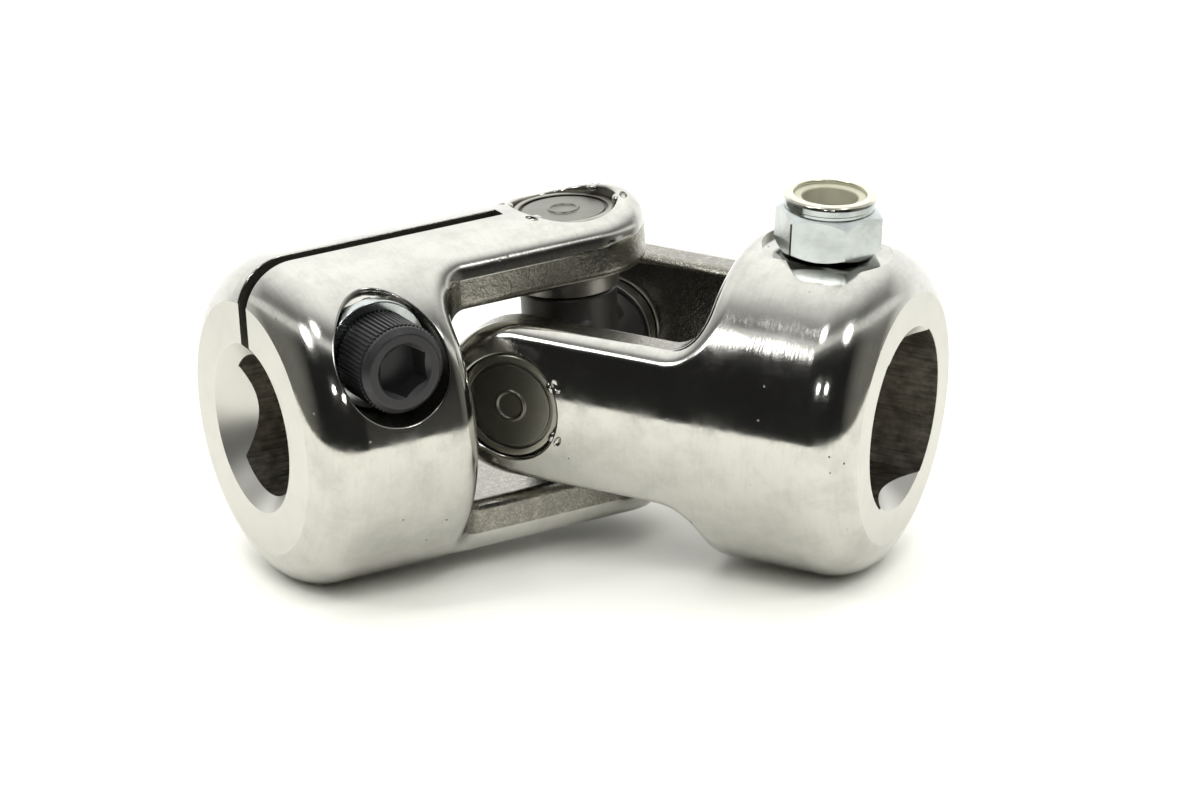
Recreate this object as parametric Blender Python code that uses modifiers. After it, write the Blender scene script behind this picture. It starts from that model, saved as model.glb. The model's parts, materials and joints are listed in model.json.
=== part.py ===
"""Needle-bearing universal joint for a steering shaft, built as an assembly.

Two machined yokes swing on a cross. The clamp yoke holds a double-D shaft with a saw slit
and a pinch screw, the other yoke holds a larger double-D shaft with a set screw and a locknut.

Each yoke is modelled in its own frame: +Z runs out along the hub from the joint's centre,
+X is the axis of its two bearings, and -Y is the side that its fastener is reached from.
"""

import math

import bmesh
import bpy
from mathutils import Matrix, Vector

MM = 0.001
INCH = 25.4 * MM

# Pose at rest
CLAMP_HEADING = 28.04  # degrees that the clamp yoke's hub points towards -Y, away from -X
CLAMP_DROP = 3.16  # degrees that its outer end lies below the joint's centre
CLAMP_ROLL = 1.27  # degrees that its bearing axis leans
CLAMP_BEND = 51.2  # degrees between the clamp yoke and the straight joint
SET_BEND = -6.1  # degrees between the set screw yoke and the straight joint

# Both yokes
HUB_RADIUS = 1.75 * INCH / 2
END_DISTANCE = 47.6 * MM  # joint's centre to a hub's end face
FACE_RADIUS = 17.0 * MM  # outer edge of the flat end face
END_ROUND = 7.0 * MM  # round from the hub's side to its end face
SWING_LIMIT = 52.0  # degrees either way from straight
SWING_CLEARANCE = 0.4 * MM  # ear tip to the bottom of the fork at the limit
EAR_INSIDE = 13.3 * MM  # joint's centre to an ear's inner face
FORK_CLEARANCE = 2.6 * MM  # edge of one yoke's ear to the inner face of the other's
EAR_FILLET = 4.0 * MM
THROAT_FILLET = 4.5 * MM
BORE_CHAMFER_ANGLE = 45.0
EAR_HALF_WIDTH = EAR_INSIDE - FORK_CLEARANCE
# Joint's centre to the bottom of the fork, just past what an ear's tip reaches
SHOULDER_DISTANCE = (
    HUB_RADIUS * math.sin(math.radians(SWING_LIMIT))
    + EAR_HALF_WIDTH * math.cos(math.radians(SWING_LIMIT))
    + SWING_CLEARANCE
)

# Clamp yoke
CLAMP_BORE_RADIUS = 0.75 * INCH / 2
CLAMP_BORE_FLATS = 14.2 * MM
CLAMP_CHAMFER_RADIUS = 11.4 * MM
SLIT_WIDTH = 2.4 * MM
SLIT_SHIFT = 0.0 * MM  # slit's middle, towards the pinch screw's head
SLIT_END = 9.6 * MM  # joint's centre to the inner end of the slit
PINCH_DISTANCE = 35.2 * MM
PINCH_OFFSET = 11.4 * MM
RECESS_RADIUS = 7.55 * MM
RECESS_SEAT = 12.0 * MM  # slit plane to the seat of the lock washer

# Set screw yoke
SET_BORE_RADIUS = 1.0 * INCH / 2
SET_BORE_FLATS = 20.3 * MM
SET_CHAMFER_RADIUS = 12.4 * MM
SET_DISTANCE = 35.5 * MM
NUT_SEAT = 21.4 * MM  # hub's axis to the spot face
NUT_SEAT_RADIUS = 8.6 * MM

# Bearings and cross
CUP_RADIUS = 0.5625 * INCH / 2
CUP_LENGTH = 7.9 * MM
CUP_FACE = 20.8 * MM  # joint's centre to the closed end of a cup
CUP_WALL = 1.0 * MM
CUP_FLOOR = 1.2 * MM
CUP_CHAMFER = 0.6 * MM
CUP_CLEARANCE = 0.05 * MM
TRUNNION_RADIUS = 4.6 * MM
TRUNNION_CHAMFER = 0.6 * MM
NEEDLE_COUNT = 16
NEEDLE_CLEARANCE = 0.08 * MM
NEEDLE_END_GAP = 0.4 * MM
NEEDLE_WEB = 0.3 * MM
BOSS_STEP = 0.64 * MM  # how far a boss stands inside its cup's outline
BOSS_LENGTH = 10.0 * MM
BODY_RADIUS = 8.6 * MM
BODY_HALF_HEIGHT = 5.2 * MM
SEAL_THICKNESS = 2.1 * MM
RETAINER_WALL = 0.5 * MM
RETAINER_STEP = 0.2 * MM  # how far a seal retainer stands inside its cup's outline
FACE_GAP = 0.3 * MM
BOSS_RADIUS = CUP_RADIUS - BOSS_STEP

# Fasteners, 5/16 inch with 24 threads to the inch
THREAD_RADIUS = 0.3125 * INCH / 2
HOLE_CLEARANCE = 0.15 * MM
SCREW_HEAD_RADIUS = 0.469 * INCH / 2
SCREW_HEAD_HEIGHT = 0.3125 * INCH
SCREW_HEAD_CHAMFER = 0.5 * MM
SCREW_LENGTH = 1.25 * INCH
SCREW_HEX_FLATS = 0.25 * INCH
SCREW_HEX_DEPTH = 4.0 * MM
WASHER_RADIUS = 7.3 * MM
WASHER_THICKNESS = 1.9 * MM
WASHER_SPLIT = 1.0 * MM
SET_SCREW_LENGTH = 0.625 * INCH
SET_SCREW_HEX_FLATS = 0.15625 * INCH
SET_SCREW_HEX_DEPTH = 4.0 * MM
NUT_FLATS = 0.5 * INCH
NUT_HEIGHT = 7.9 * MM
NUT_TURN = -22.0  # degrees between the nut's flats and the hub
NUT_COLLAR_RADIUS = 6.1 * MM
NUT_COLLAR_HEIGHT = 2.0 * MM
NUT_LIP_RADIUS = 4.8 * MM
INSERT_RADIUS = 5.2 * MM
INSERT_HEIGHT = 1.6 * MM
INSERT_BORE_RADIUS = 3.7 * MM  # smaller than the thread, which it grips
LIP_THICKNESS = 0.5 * MM

HUB_STEPS = 64
BORE_STEPS = 32
CUP_STEPS = 32
SEAL_STEPS = 24
ARM_STEPS = 28
SCREW_STEPS = 28
ARC_STEPS = 6
HAIR = 0.1 * MM  # how far a cutter runs past what it cuts


# Materials

def principled(name, color, roughness, metallic):
    material = bpy.data.materials.new(name)
    material.use_nodes = True
    shader = material.node_tree.nodes["Principled BSDF"]
    shader.inputs["Base Color"].default_value = (*color, 1.0)
    shader.inputs["Roughness"].default_value = roughness
    shader.inputs["Metallic"].default_value = metallic
    material.diffuse_color = (*color, 1.0)
    return material


# Outlines: lists of (x, y) points

def arc(center, radius, start, end, steps=ARC_STEPS):
    """Points on an arc between two angles in degrees, both ends included."""
    angles = [math.radians(start + (end - start) * i / steps) for i in range(steps + 1)]
    return [(center[0] + radius * math.cos(a), center[1] + radius * math.sin(a)) for a in angles]


def ear_outline():
    """A yoke seen along its bearing axis: round tip, straight sides, fillets into the hub."""
    reach = HUB_RADIUS + 1 * MM
    top = END_DISTANCE + 1 * MM
    fillet_center = (EAR_HALF_WIDTH + EAR_FILLET, SHOULDER_DISTANCE - EAR_FILLET)
    right = arc((0, 0), EAR_HALF_WIDTH, -90, 0, 2 * ARC_STEPS)
    right += arc(fillet_center, EAR_FILLET, 180, 90)
    right += [(reach, SHOULDER_DISTANCE), (reach, top)]
    return right + [(-y, z) for y, z in reversed(right[1:])]


def throat_outline():
    """The gap between the two ears, seen along the yoke's side."""
    below = -EAR_HALF_WIDTH - 1 * MM
    corner = (EAR_INSIDE - THROAT_FILLET, SHOULDER_DISTANCE - THROAT_FILLET)
    right = [(EAR_INSIDE, below)] + arc(corner, THROAT_FILLET, 0, 90)
    return right + [(-x, z) for x, z in reversed(right)]


def double_d_outline(radius, flats):
    """A circle with two flats parallel to X."""
    half_angle = math.degrees(math.asin(flats / 2 / radius))
    right = arc((0, 0), radius, -half_angle, half_angle, BORE_STEPS // 2)
    return right + [(-x, -y) for x, y in right]


def polygon_outline(flats, sides=6, turn=0):
    corner = flats / 2 / math.cos(math.pi / sides)
    return arc((0, 0), corner, turn, turn + 360, sides)[:-1]


# Shapes

def add_object(name, mesh, collection, frame, material=None):
    """An object that keeps the frame's place in its own matrix."""
    built = bpy.data.objects.new(name, mesh)
    collection.objects.link(built)
    built.matrix_world = frame
    if material:
        mesh.materials.append(material)
    return built


def turned(name, profile, collection, frame, material=None, steps=CUP_STEPS):
    """A solid turned about +Z from a profile of (radius, z) points, its outer side top to bottom."""
    mesh = bpy.data.meshes.new(name)
    edges = [(i, i + 1) for i in range(len(profile) - 1)]
    if min(profile[0][0], profile[-1][0]) > 0:
        edges.append((len(profile) - 1, 0))
    mesh.from_pydata([(r, 0, z) for r, z in profile], edges, [])
    built = add_object(name, mesh, collection, frame, material)
    screw = built.modifiers.new("Turn", "SCREW")
    screw.axis = "Z"
    screw.steps = screw.render_steps = steps
    screw.use_merge_vertices = True
    screw.merge_threshold = 0.00001
    screw.use_smooth_shade = True
    return built


def prism(name, outline, low, high, collection, frame, material=None, hole=()):
    """A flat outline, with an optional hole, extruded along +Z from low to high, as a mesh."""
    curve = bpy.data.curves.new(name, "CURVE")
    curve.dimensions = "2D"
    curve.fill_mode = "BOTH"
    curve.extrude = (high - low) / 2
    for points in filter(len, (outline, hole)):
        spline = curve.splines.new("POLY")
        spline.points.add(len(points) - 1)
        spline.use_cyclic_u = True
        for point, (x, y) in zip(spline.points, points):
            point.co = (x, y, 0, 1)
    guide = bpy.data.objects.new(name + "_curve", curve)
    collection.objects.link(guide)
    bpy.context.view_layer.update()
    graph = bpy.context.evaluated_depsgraph_get()
    mesh = bpy.data.meshes.new_from_object(guide.evaluated_get(graph))
    mesh.name = name
    bpy.data.objects.remove(guide)
    mesh.transform(Matrix.Translation((0, 0, (high + low) / 2)))
    shape = bmesh.new()
    shape.from_mesh(mesh)
    bmesh.ops.remove_doubles(shape, verts=shape.verts, dist=0.000001)
    bmesh.ops.recalc_face_normals(shape, faces=shape.faces)
    shape.to_mesh(mesh)
    shape.free()
    return add_object(name, mesh, collection, frame, material)


def boolean(target, tool, operation="DIFFERENCE"):
    """Cuts, joins or keeps what is common, and files the tool as a hidden helper."""
    modifier = target.modifiers.new(tool.name, "BOOLEAN")
    modifier.operation = operation
    modifier.solver = "EXACT"
    modifier.object = tool
    tool.hide_render = True
    tool.display_type = "WIRE"


def chamfered_rod(radius, low, high, chamfer):
    """Profile of a solid rod with both ends chamfered."""
    return [
        (0, high), (radius - chamfer, high), (radius, high - chamfer),
        (radius, low + chamfer), (radius - chamfer, low), (0, low),
    ]


def ring(inner, outer, low, high):
    return [(outer, high), (outer, low), (inner, low), (inner, high)]


# Frames

def pose_frames():
    """Frames of the clamp yoke, the cross and the set screw yoke about the joint's centre."""
    heading, drop = math.radians(CLAMP_HEADING), math.radians(CLAMP_DROP)
    out = Vector((
        -math.cos(heading) * math.cos(drop),
        -math.sin(heading) * math.cos(drop),
        -math.sin(drop),
    ))
    up = Vector((0, 0, 1))
    pin = (up - up.dot(out) * out).normalized()
    pin.rotate(Matrix.Rotation(math.radians(CLAMP_ROLL), 3, out))
    turn = Matrix((pin, out.cross(pin), out)).transposed().to_4x4()
    cross = turn @ Matrix.Rotation(math.radians(-CLAMP_BEND), 4, "X")
    # The second pair of bearings lies on the cross's -Y arm, and its hub points the other way.
    other = Matrix(((0, -1, 0, 0), (-1, 0, 0, 0), (0, 0, -1, 0), (0, 0, 0, 1)))
    swung = cross @ other @ Matrix.Rotation(math.radians(SET_BEND), 4, "X")
    return turn, cross, swung


def end_round():
    """Centre (radius, z) of the round at a hub's end, and its angle in degrees at the end face."""
    radius = HUB_RADIUS - END_ROUND
    angle = math.acos((FACE_RADIUS - radius) / END_ROUND)
    return (radius, END_DISTANCE - END_ROUND * math.sin(angle)), math.degrees(angle)


def local(origin, z_axis, x_axis):
    """A frame with its origin and two axes given in the parent's frame."""
    z = Vector(z_axis)
    x = Vector(x_axis)
    turn = Matrix((x, z.cross(x), z)).transposed().to_4x4()
    return Matrix.Translation(origin) @ turn


def bearing_frames(frame):
    """The two arms of a bearing pair: +Z of each runs out along the arm."""
    return (
        frame @ local((0, 0, 0), (1, 0, 0), (0, 0, -1)),
        frame @ local((0, 0, 0), (-1, 0, 0), (0, 0, 1)),
    )


def pinch_frame(frame):
    return frame @ local((PINCH_OFFSET, 0, PINCH_DISTANCE), (0, -1, 0), (1, 0, 0))


def set_screw_frame(frame):
    return frame @ local((0, 0, SET_DISTANCE), (0, -1, 0), (1, 0, 0))


# Pieces

def yoke_blank(name, frame, parts, cutters, material):
    """Hub and two ears, with the holes for the bearing cups."""
    low = -EAR_HALF_WIDTH - 1 * MM
    center, angle = end_round()
    rounded = arc(center, END_ROUND, angle, 0)
    profile = [(0, END_DISTANCE)] + rounded + [(HUB_RADIUS, low), (0, low)]
    yoke = turned(name, profile, parts, frame, material, HUB_STEPS)
    reach = HUB_RADIUS + 1 * MM
    across = local((0, 0, 0), (1, 0, 0), (0, 1, 0))
    plan = prism(name + "_plan", ear_outline(), -reach, reach, cutters, frame @ across)
    boolean(yoke, plan, "INTERSECT")
    sideways = local((0, 0, 0), (0, -1, 0), (1, 0, 0))
    throat = prism(name + "_throat", throat_outline(), -reach, reach, cutters, frame @ sideways)
    boolean(yoke, throat)
    for side, arm in zip("ab", bearing_frames(frame)):
        radius = CUP_RADIUS + CUP_CLEARANCE
        hole = chamfered_rod(radius, EAR_INSIDE - 1 * MM, reach, 0.01 * MM)
        boolean(yoke, turned(f"{name}_hole_{side}", hole, cutters, arm))
    return yoke


def cut_bore(yoke, frame, cutters, radius, flats, chamfer_radius):
    """Double-D bore from the fork to the end face, with its chamfer."""
    low, high = SHOULDER_DISTANCE - THROAT_FILLET, END_DISTANCE + 1 * MM
    outline = double_d_outline(radius, flats)
    boolean(yoke, prism(yoke.name + "_bore", outline, low, high, cutters, frame))
    slope = math.tan(math.radians(BORE_CHAMFER_ANGLE))
    deep = END_DISTANCE - (chamfer_radius - flats / 2 + HAIR) * slope
    cone = [
        (0, END_DISTANCE + 1 * MM), (chamfer_radius + 1 * MM / slope, END_DISTANCE + 1 * MM),
        (flats / 2 - HAIR, deep), (0, deep),
    ]
    boolean(yoke, turned(yoke.name + "_chamfer", cone, cutters, frame, steps=HUB_STEPS))


def clamp_yoke(frame, parts, cutters, material):
    yoke = yoke_blank("clamp_yoke", frame, parts, cutters, material)
    cut_bore(yoke, frame, cutters, CLAMP_BORE_RADIUS, CLAMP_BORE_FLATS, CLAMP_CHAMFER_RADIUS)
    reach = HUB_RADIUS + 1 * MM
    near, far = -SLIT_SHIFT - SLIT_WIDTH / 2, -SLIT_SHIFT + SLIT_WIDTH / 2
    past_end = END_DISTANCE + 1 * MM
    slit = [(near, SLIT_END), (far, SLIT_END), (far, past_end), (near, past_end)]
    up = frame @ local((0, 0, 0), (1, 0, 0), (0, 1, 0))
    boolean(yoke, prism("slit", slit, CLAMP_BORE_RADIUS - 1 * MM, reach, cutters, up))
    screw = pinch_frame(frame)
    radius = THREAD_RADIUS + HOLE_CLEARANCE
    hole = chamfered_rod(radius, -reach, reach, 0.01 * MM)
    boolean(yoke, turned("pinch_hole", hole, cutters, screw, steps=SCREW_STEPS))
    recess = chamfered_rod(RECESS_RADIUS, RECESS_SEAT, reach, 0.01 * MM)
    boolean(yoke, turned("pinch_recess", recess, cutters, screw))
    return yoke


def set_screw_yoke(frame, parts, cutters, material):
    yoke = yoke_blank("set_screw_yoke", frame, parts, cutters, material)
    cut_bore(yoke, frame, cutters, SET_BORE_RADIUS, SET_BORE_FLATS, SET_CHAMFER_RADIUS)
    screw = set_screw_frame(frame)
    radius = THREAD_RADIUS + HOLE_CLEARANCE
    hole = chamfered_rod(radius, 0, HUB_RADIUS + 1 * MM, 0.01 * MM)
    boolean(yoke, turned("set_hole", hole, cutters, screw, steps=SCREW_STEPS))
    seat = chamfered_rod(NUT_SEAT_RADIUS, NUT_SEAT, HUB_RADIUS + 1 * MM, 0.01 * MM)
    boolean(yoke, turned("set_spot_face", seat, cutters, screw))
    return yoke


def bearing_cup(name, arm, parts, material):
    """Drawn cup with a closed outer end."""
    top, open_end = CUP_FACE, CUP_FACE - CUP_LENGTH
    floor, inner = top - CUP_FLOOR, CUP_RADIUS - CUP_WALL
    profile = [
        (0, top), (CUP_RADIUS - CUP_CHAMFER, top), (CUP_RADIUS, top - CUP_CHAMFER),
        (CUP_RADIUS, open_end), (inner, open_end), (inner, floor), (0, floor),
    ]
    return turned(name, profile, parts, arm, material)


def needle_set(name, arm, parts, material):
    """The needles of one cup as a fluted ring: a round on both sides for each needle."""
    pitch_radius = (TRUNNION_RADIUS + CUP_RADIUS - CUP_WALL) / 2
    swell = (CUP_RADIUS - CUP_WALL - TRUNNION_RADIUS) / 2 - NEEDLE_CLEARANCE
    low = CUP_FACE - CUP_LENGTH + NEEDLE_END_GAP
    high = CUP_FACE - CUP_FLOOR - NEEDLE_END_GAP
    outer, inner = [], []
    for index in range(NEEDLE_COUNT):
        for share, rise in ((-0.5, NEEDLE_WEB), (-0.2, swell), (0.2, swell)):
            turn = math.radians(360 * (index + share) / NEEDLE_COUNT)
            for outline, radius in ((outer, pitch_radius + rise), (inner, pitch_radius - rise)):
                outline.append((radius * math.cos(turn), radius * math.sin(turn)))
    return prism(name, outer, low, high, parts, arm, material, hole=inner)


def cross_piece(frame, parts, cutters, material):
    """The spider: a round body with four bosses, each ending in a trunnion."""
    cross = turned(
        "cross", chamfered_rod(BODY_RADIUS, -BODY_HALF_HEIGHT, BODY_HALF_HEIGHT, 1.2 * MM),
        parts, frame @ local((0, 0, 0), (0, 0, 1), (1, 0, 0)), material, HUB_STEPS // 2,
    )
    end = CUP_FACE - CUP_FLOOR - FACE_GAP
    profile = [
        (0, end), (TRUNNION_RADIUS - TRUNNION_CHAMFER, end),
        (TRUNNION_RADIUS, end - TRUNNION_CHAMFER), (TRUNNION_RADIUS, BOSS_LENGTH),
        (BOSS_RADIUS, BOSS_LENGTH), (BOSS_RADIUS, -BOSS_LENGTH), (TRUNNION_RADIUS, -BOSS_LENGTH),
        (TRUNNION_RADIUS, -end + TRUNNION_CHAMFER), (TRUNNION_RADIUS - TRUNNION_CHAMFER, -end),
        (0, -end),
    ]
    # Each arm starts its turning at its own angle, so that no facets of the two fall together.
    for axis, direction, start in (("x", (1, 0, 0), 2.0), ("y", (0, 1, 0), 5.0)):
        arm = frame @ local((0, 0, 0), direction, (0, 0, 1))
        arm @= Matrix.Rotation(math.radians(start), 4, "Z")
        boolean(cross, turned(f"cross_arm_{axis}", profile, cutters, arm, steps=ARM_STEPS), "UNION")
    return cross


def seal(name, arm, parts, material):
    """Rubber ring round a trunnion, between its boss and the open end of the cup."""
    low = BOSS_LENGTH + FACE_GAP
    inner = TRUNNION_RADIUS + CUP_CLEARANCE
    outer = CUP_RADIUS - RETAINER_STEP - RETAINER_WALL - CUP_CLEARANCE
    profile = ring(inner, outer, low, low + SEAL_THICKNESS)
    return turned(name, profile, parts, arm, material, SEAL_STEPS)


def seal_retainer(name, arm, parts, material):
    """Thin metal ring that holds a seal."""
    low = BOSS_LENGTH + FACE_GAP
    outer = CUP_RADIUS - RETAINER_STEP
    profile = ring(outer - RETAINER_WALL, outer, low, low + SEAL_THICKNESS)
    return turned(name, profile, parts, arm, material, SEAL_STEPS)


def lock_washer(frame, parts, cutters, material):
    """Split washer under the pinch screw's head."""
    low = RECESS_SEAT + FACE_GAP / 2
    profile = ring(THREAD_RADIUS + HOLE_CLEARANCE, WASHER_RADIUS, low, low + WASHER_THICKNESS)
    washer = turned("lock_washer", profile, parts, frame, material)
    half = WASHER_SPLIT / 2
    past = -WASHER_RADIUS - 1 * MM
    gap = [(past, -half), (0, -half), (0, half), (past, half)]
    low, high = low - 1 * MM, low + WASHER_THICKNESS + 1 * MM
    boolean(washer, prism("washer_split", gap, low, high, cutters, frame))
    return washer


def pinch_screw(frame, parts, cutters, material):
    """Socket head cap screw."""
    seat = RECESS_SEAT + FACE_GAP + WASHER_THICKNESS
    top, tip = seat + SCREW_HEAD_HEIGHT, seat - SCREW_LENGTH
    chamfer = SCREW_HEAD_CHAMFER
    profile = [
        (0, top), (SCREW_HEAD_RADIUS - chamfer, top), (SCREW_HEAD_RADIUS, top - chamfer),
        (SCREW_HEAD_RADIUS, seat), (THREAD_RADIUS, seat), (THREAD_RADIUS, tip + chamfer),
        (THREAD_RADIUS - chamfer, tip), (0, tip),
    ]
    screw = turned("pinch_screw", profile, parts, frame, material, SCREW_STEPS)
    hexagon = polygon_outline(SCREW_HEX_FLATS)
    low, high = top - SCREW_HEX_DEPTH, top + 1 * MM
    boolean(screw, prism("pinch_hex", hexagon, low, high, cutters, frame))
    return screw


def set_screw(frame, parts, cutters, material):
    """Socket set screw, backed out until its point is level with the bore's flat."""
    low = SET_BORE_FLATS / 2 + FACE_GAP
    high = low + SET_SCREW_LENGTH
    profile = chamfered_rod(THREAD_RADIUS, low, high, 0.6 * MM)
    screw = turned("set_screw", profile, parts, frame, material, SCREW_STEPS)
    hexagon = polygon_outline(SET_SCREW_HEX_FLATS)
    low = high - SET_SCREW_HEX_DEPTH
    boolean(screw, prism("set_hex", hexagon, low, high + 1 * MM, cutters, frame))
    return screw


def locknut(frame, parts, cutters, material):
    """Hexagon nut with a round collar that holds the nylon insert."""
    low = NUT_SEAT + FACE_GAP
    high = low + NUT_HEIGHT
    hex_top = high - NUT_COLLAR_HEIGHT
    corner = NUT_FLATS / 2 / math.cos(math.pi / 6)
    bore = THREAD_RADIUS + HOLE_CLEARANCE
    pocket = high - LIP_THICKNESS - INSERT_HEIGHT - FACE_GAP
    drop = (corner - NUT_FLATS / 2) * math.tan(math.radians(30))
    profile = [
        (NUT_COLLAR_RADIUS - 0.5 * MM, high), (NUT_COLLAR_RADIUS, high - 0.5 * MM),
        (NUT_COLLAR_RADIUS, hex_top), (corner + HAIR, hex_top - drop), (corner + HAIR, low + drop),
        (NUT_FLATS / 2, low), (bore, low), (bore, pocket),
        (INSERT_RADIUS + CUP_CLEARANCE, pocket), (INSERT_RADIUS + CUP_CLEARANCE, high - LIP_THICKNESS),
        (NUT_LIP_RADIUS, high - LIP_THICKNESS), (NUT_LIP_RADIUS, high),
    ]
    nut = turned("locknut", profile, parts, frame, material)
    outline = polygon_outline(NUT_FLATS, turn=NUT_TURN)
    tool = prism("nut_hex", outline, low - 1 * MM, high + 1 * MM, cutters, frame)
    boolean(nut, tool, "INTERSECT")
    return nut


def nylon_insert(frame, parts, material):
    high = NUT_SEAT + FACE_GAP + NUT_HEIGHT - LIP_THICKNESS - CUP_CLEARANCE
    profile = ring(INSERT_BORE_RADIUS, INSERT_RADIUS, high - INSERT_HEIGHT, high)
    return turned("nylon_insert", profile, parts, frame, material)


def stand_on_origin(parts, cutters):
    """Moves everything so that the origin is the middle of the part's footprint, at its base."""
    bpy.context.view_layer.update()
    graph = bpy.context.evaluated_depsgraph_get()
    points = []
    for built in parts.objects:
        evaluated = built.evaluated_get(graph)
        points += [evaluated.matrix_world @ vertex.co for vertex in evaluated.to_mesh().vertices]
        evaluated.to_mesh_clear()
    low = [min(point[axis] for point in points) for axis in range(3)]
    high = [max(point[axis] for point in points) for axis in range(3)]
    shift = Matrix.Translation((-(low[0] + high[0]) / 2, -(low[1] + high[1]) / 2, -low[2]))
    for built in (*parts.objects, *cutters.objects):
        built.matrix_world = shift @ built.matrix_world


def main():
    for existing in list(bpy.data.objects):
        bpy.data.objects.remove(existing)
    parts = bpy.data.collections.new("universal_joint")
    cutters = bpy.data.collections.new("cutters")
    for collection in (parts, cutters):
        bpy.context.scene.collection.children.link(collection)

    steel = principled("polished_steel", (0.62, 0.60, 0.56), 0.18, 1.0)
    set_steel = principled("polished_steel_set_yoke", (0.60, 0.58, 0.54), 0.18, 1.0)
    cup_steel = principled("cup_steel", (0.32, 0.31, 0.28), 0.35, 1.0)
    needle_steel = principled("needle_steel", (0.70, 0.70, 0.70), 0.2, 1.0)
    cross_steel = principled("blackened_cross", (0.03, 0.03, 0.032), 0.45, 0.6)
    rubber = principled("seal_rubber", (0.02, 0.02, 0.02), 0.6, 0.0)
    retainer_steel = principled("retainer_steel", (0.25, 0.24, 0.22), 0.35, 1.0)
    black_oxide = principled("black_oxide", (0.025, 0.025, 0.027), 0.4, 0.7)
    zinc = principled("zinc_plate", (0.66, 0.70, 0.74), 0.28, 1.0)
    nylon = principled("nylon", (0.55, 0.52, 0.36), 0.5, 0.0)

    clamp, cross, swung = pose_frames()
    clamp_yoke(clamp, parts, cutters, steel)
    set_screw_yoke(swung, parts, cutters, set_steel)
    cross_piece(cross, parts, cutters, cross_steel)
    sides = zip(("top", "bottom", "front", "back"), bearing_frames(clamp) + bearing_frames(swung))
    for side, arm in sides:
        bearing_cup("bearing_cup_" + side, arm, parts, cup_steel)
        needle_set("needle_set_" + side, arm, parts, needle_steel)
        seal("seal_" + side, arm, parts, rubber)
        seal_retainer("seal_retainer_" + side, arm, parts, retainer_steel)
    lock_washer(pinch_frame(clamp), parts, cutters, zinc)
    pinch_screw(pinch_frame(clamp), parts, cutters, black_oxide)
    set_screw(set_screw_frame(swung), parts, cutters, black_oxide)
    locknut(set_screw_frame(swung), parts, cutters, zinc)
    nylon_insert(set_screw_frame(swung), parts, nylon)
    stand_on_origin(parts, cutters)


main()
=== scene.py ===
"""Looks for a needle-bearing universal joint: polished yokes, bearing cups, cross and fasteners.

Every piece is modelled in millimetres in its own frame and is then put in its place in the mesh.
A yoke's frame has +Z out along the hub from the joint's centre, +X along its bearings, and -Y on
the side that its fastener is reached from.
"""

import json
import math
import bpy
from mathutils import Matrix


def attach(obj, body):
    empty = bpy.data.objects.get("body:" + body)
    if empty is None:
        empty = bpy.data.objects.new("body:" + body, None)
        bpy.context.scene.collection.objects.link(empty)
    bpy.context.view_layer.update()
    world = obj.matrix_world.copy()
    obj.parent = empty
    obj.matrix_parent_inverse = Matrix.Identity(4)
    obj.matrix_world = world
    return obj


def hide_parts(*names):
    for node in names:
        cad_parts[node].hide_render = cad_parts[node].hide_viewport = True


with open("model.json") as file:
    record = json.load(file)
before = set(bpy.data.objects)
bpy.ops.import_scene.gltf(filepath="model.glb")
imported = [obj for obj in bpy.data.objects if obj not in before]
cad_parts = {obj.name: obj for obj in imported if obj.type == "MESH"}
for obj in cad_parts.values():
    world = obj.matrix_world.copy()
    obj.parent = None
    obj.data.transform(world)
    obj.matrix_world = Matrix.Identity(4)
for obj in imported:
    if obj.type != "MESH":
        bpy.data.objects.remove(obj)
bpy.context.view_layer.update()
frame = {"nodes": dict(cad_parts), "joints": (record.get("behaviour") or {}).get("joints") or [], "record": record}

from types import SimpleNamespace

import bmesh
import bpy
from mathutils import Matrix, Vector

bl_info = {
    "name": "Universal Joint Looks",
    "version": (1, 0, 0),
    "blender": (4, 5, 0),
    "location": "3D View > Sidebar > Joint",
    "description": "Builds the visible pieces, finishes and studio of a universal joint",
    "category": "Object",
}

MM = 0.001
JOINTS = {joint["name"]: joint for joint in frame["joints"]}
MOUNTS = {mount["name"]: mount for mount in frame["record"]["mounts"]}
FINISH_NORMAL = "finish_normal"  # corner attribute that carries exact normals through the cuts
SHARP_ANGLE = math.radians(12)

# Lengths in millimetres
PAST = 1.0  # how far a cutter runs past what it cuts
MERGE = 0.0005  # points of one outline or cutter that are this close are one
WELD = 0.004  # points that are this close after the cuts are one
TINY = 0.001  # anything shorter counts as nothing
GAP = 0.3  # between the faces of two pieces
ROOT = 0.635  # depth of both threads

# Material slots of a yoke
SKIN, FACE, FORGED, BORE, MILLED = range(5)


# Frames

def axes_frame(origin, z_axis, x_axis):
    z = Vector(z_axis).normalized()
    x = Vector(x_axis)
    x = (x - x.dot(z) * z).normalized()
    turn = Matrix((x, z.cross(x), z)).transposed().to_4x4()
    return Matrix.Translation(origin) @ turn


def joint_frame(mount, joint):
    """A yoke's frame, from its end face and its hinge."""
    hinge = JOINTS[joint]
    return axes_frame(hinge["pos_m"], MOUNTS[mount]["axis"], hinge["axis"])


def screw_frame(joint, yoke):
    turn = JOINTS[joint]
    return axes_frame(turn["pos_m"], turn["axis"], yoke.to_3x3().col[0])


def arm_frames(yoke):
    """The two arms of a bearing pair: +Z of each runs out along the arm."""
    origin, x, z = yoke.translation, yoke.to_3x3().col[0], yoke.to_3x3().col[2]
    return axes_frame(origin, x, -z), axes_frame(origin, -x, z)


CLAMP = joint_frame("clamp_end_face", "clamp_yoke_hinge")
SET = joint_frame("set_screw_end_face", "set_screw_yoke_hinge")
PINCH = screw_frame("pinch_screw_turn", CLAMP)
ARMS = dict(zip(("top", "bottom", "front", "back"), arm_frames(CLAMP) + arm_frames(SET)))


# Sizes and colours

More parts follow.
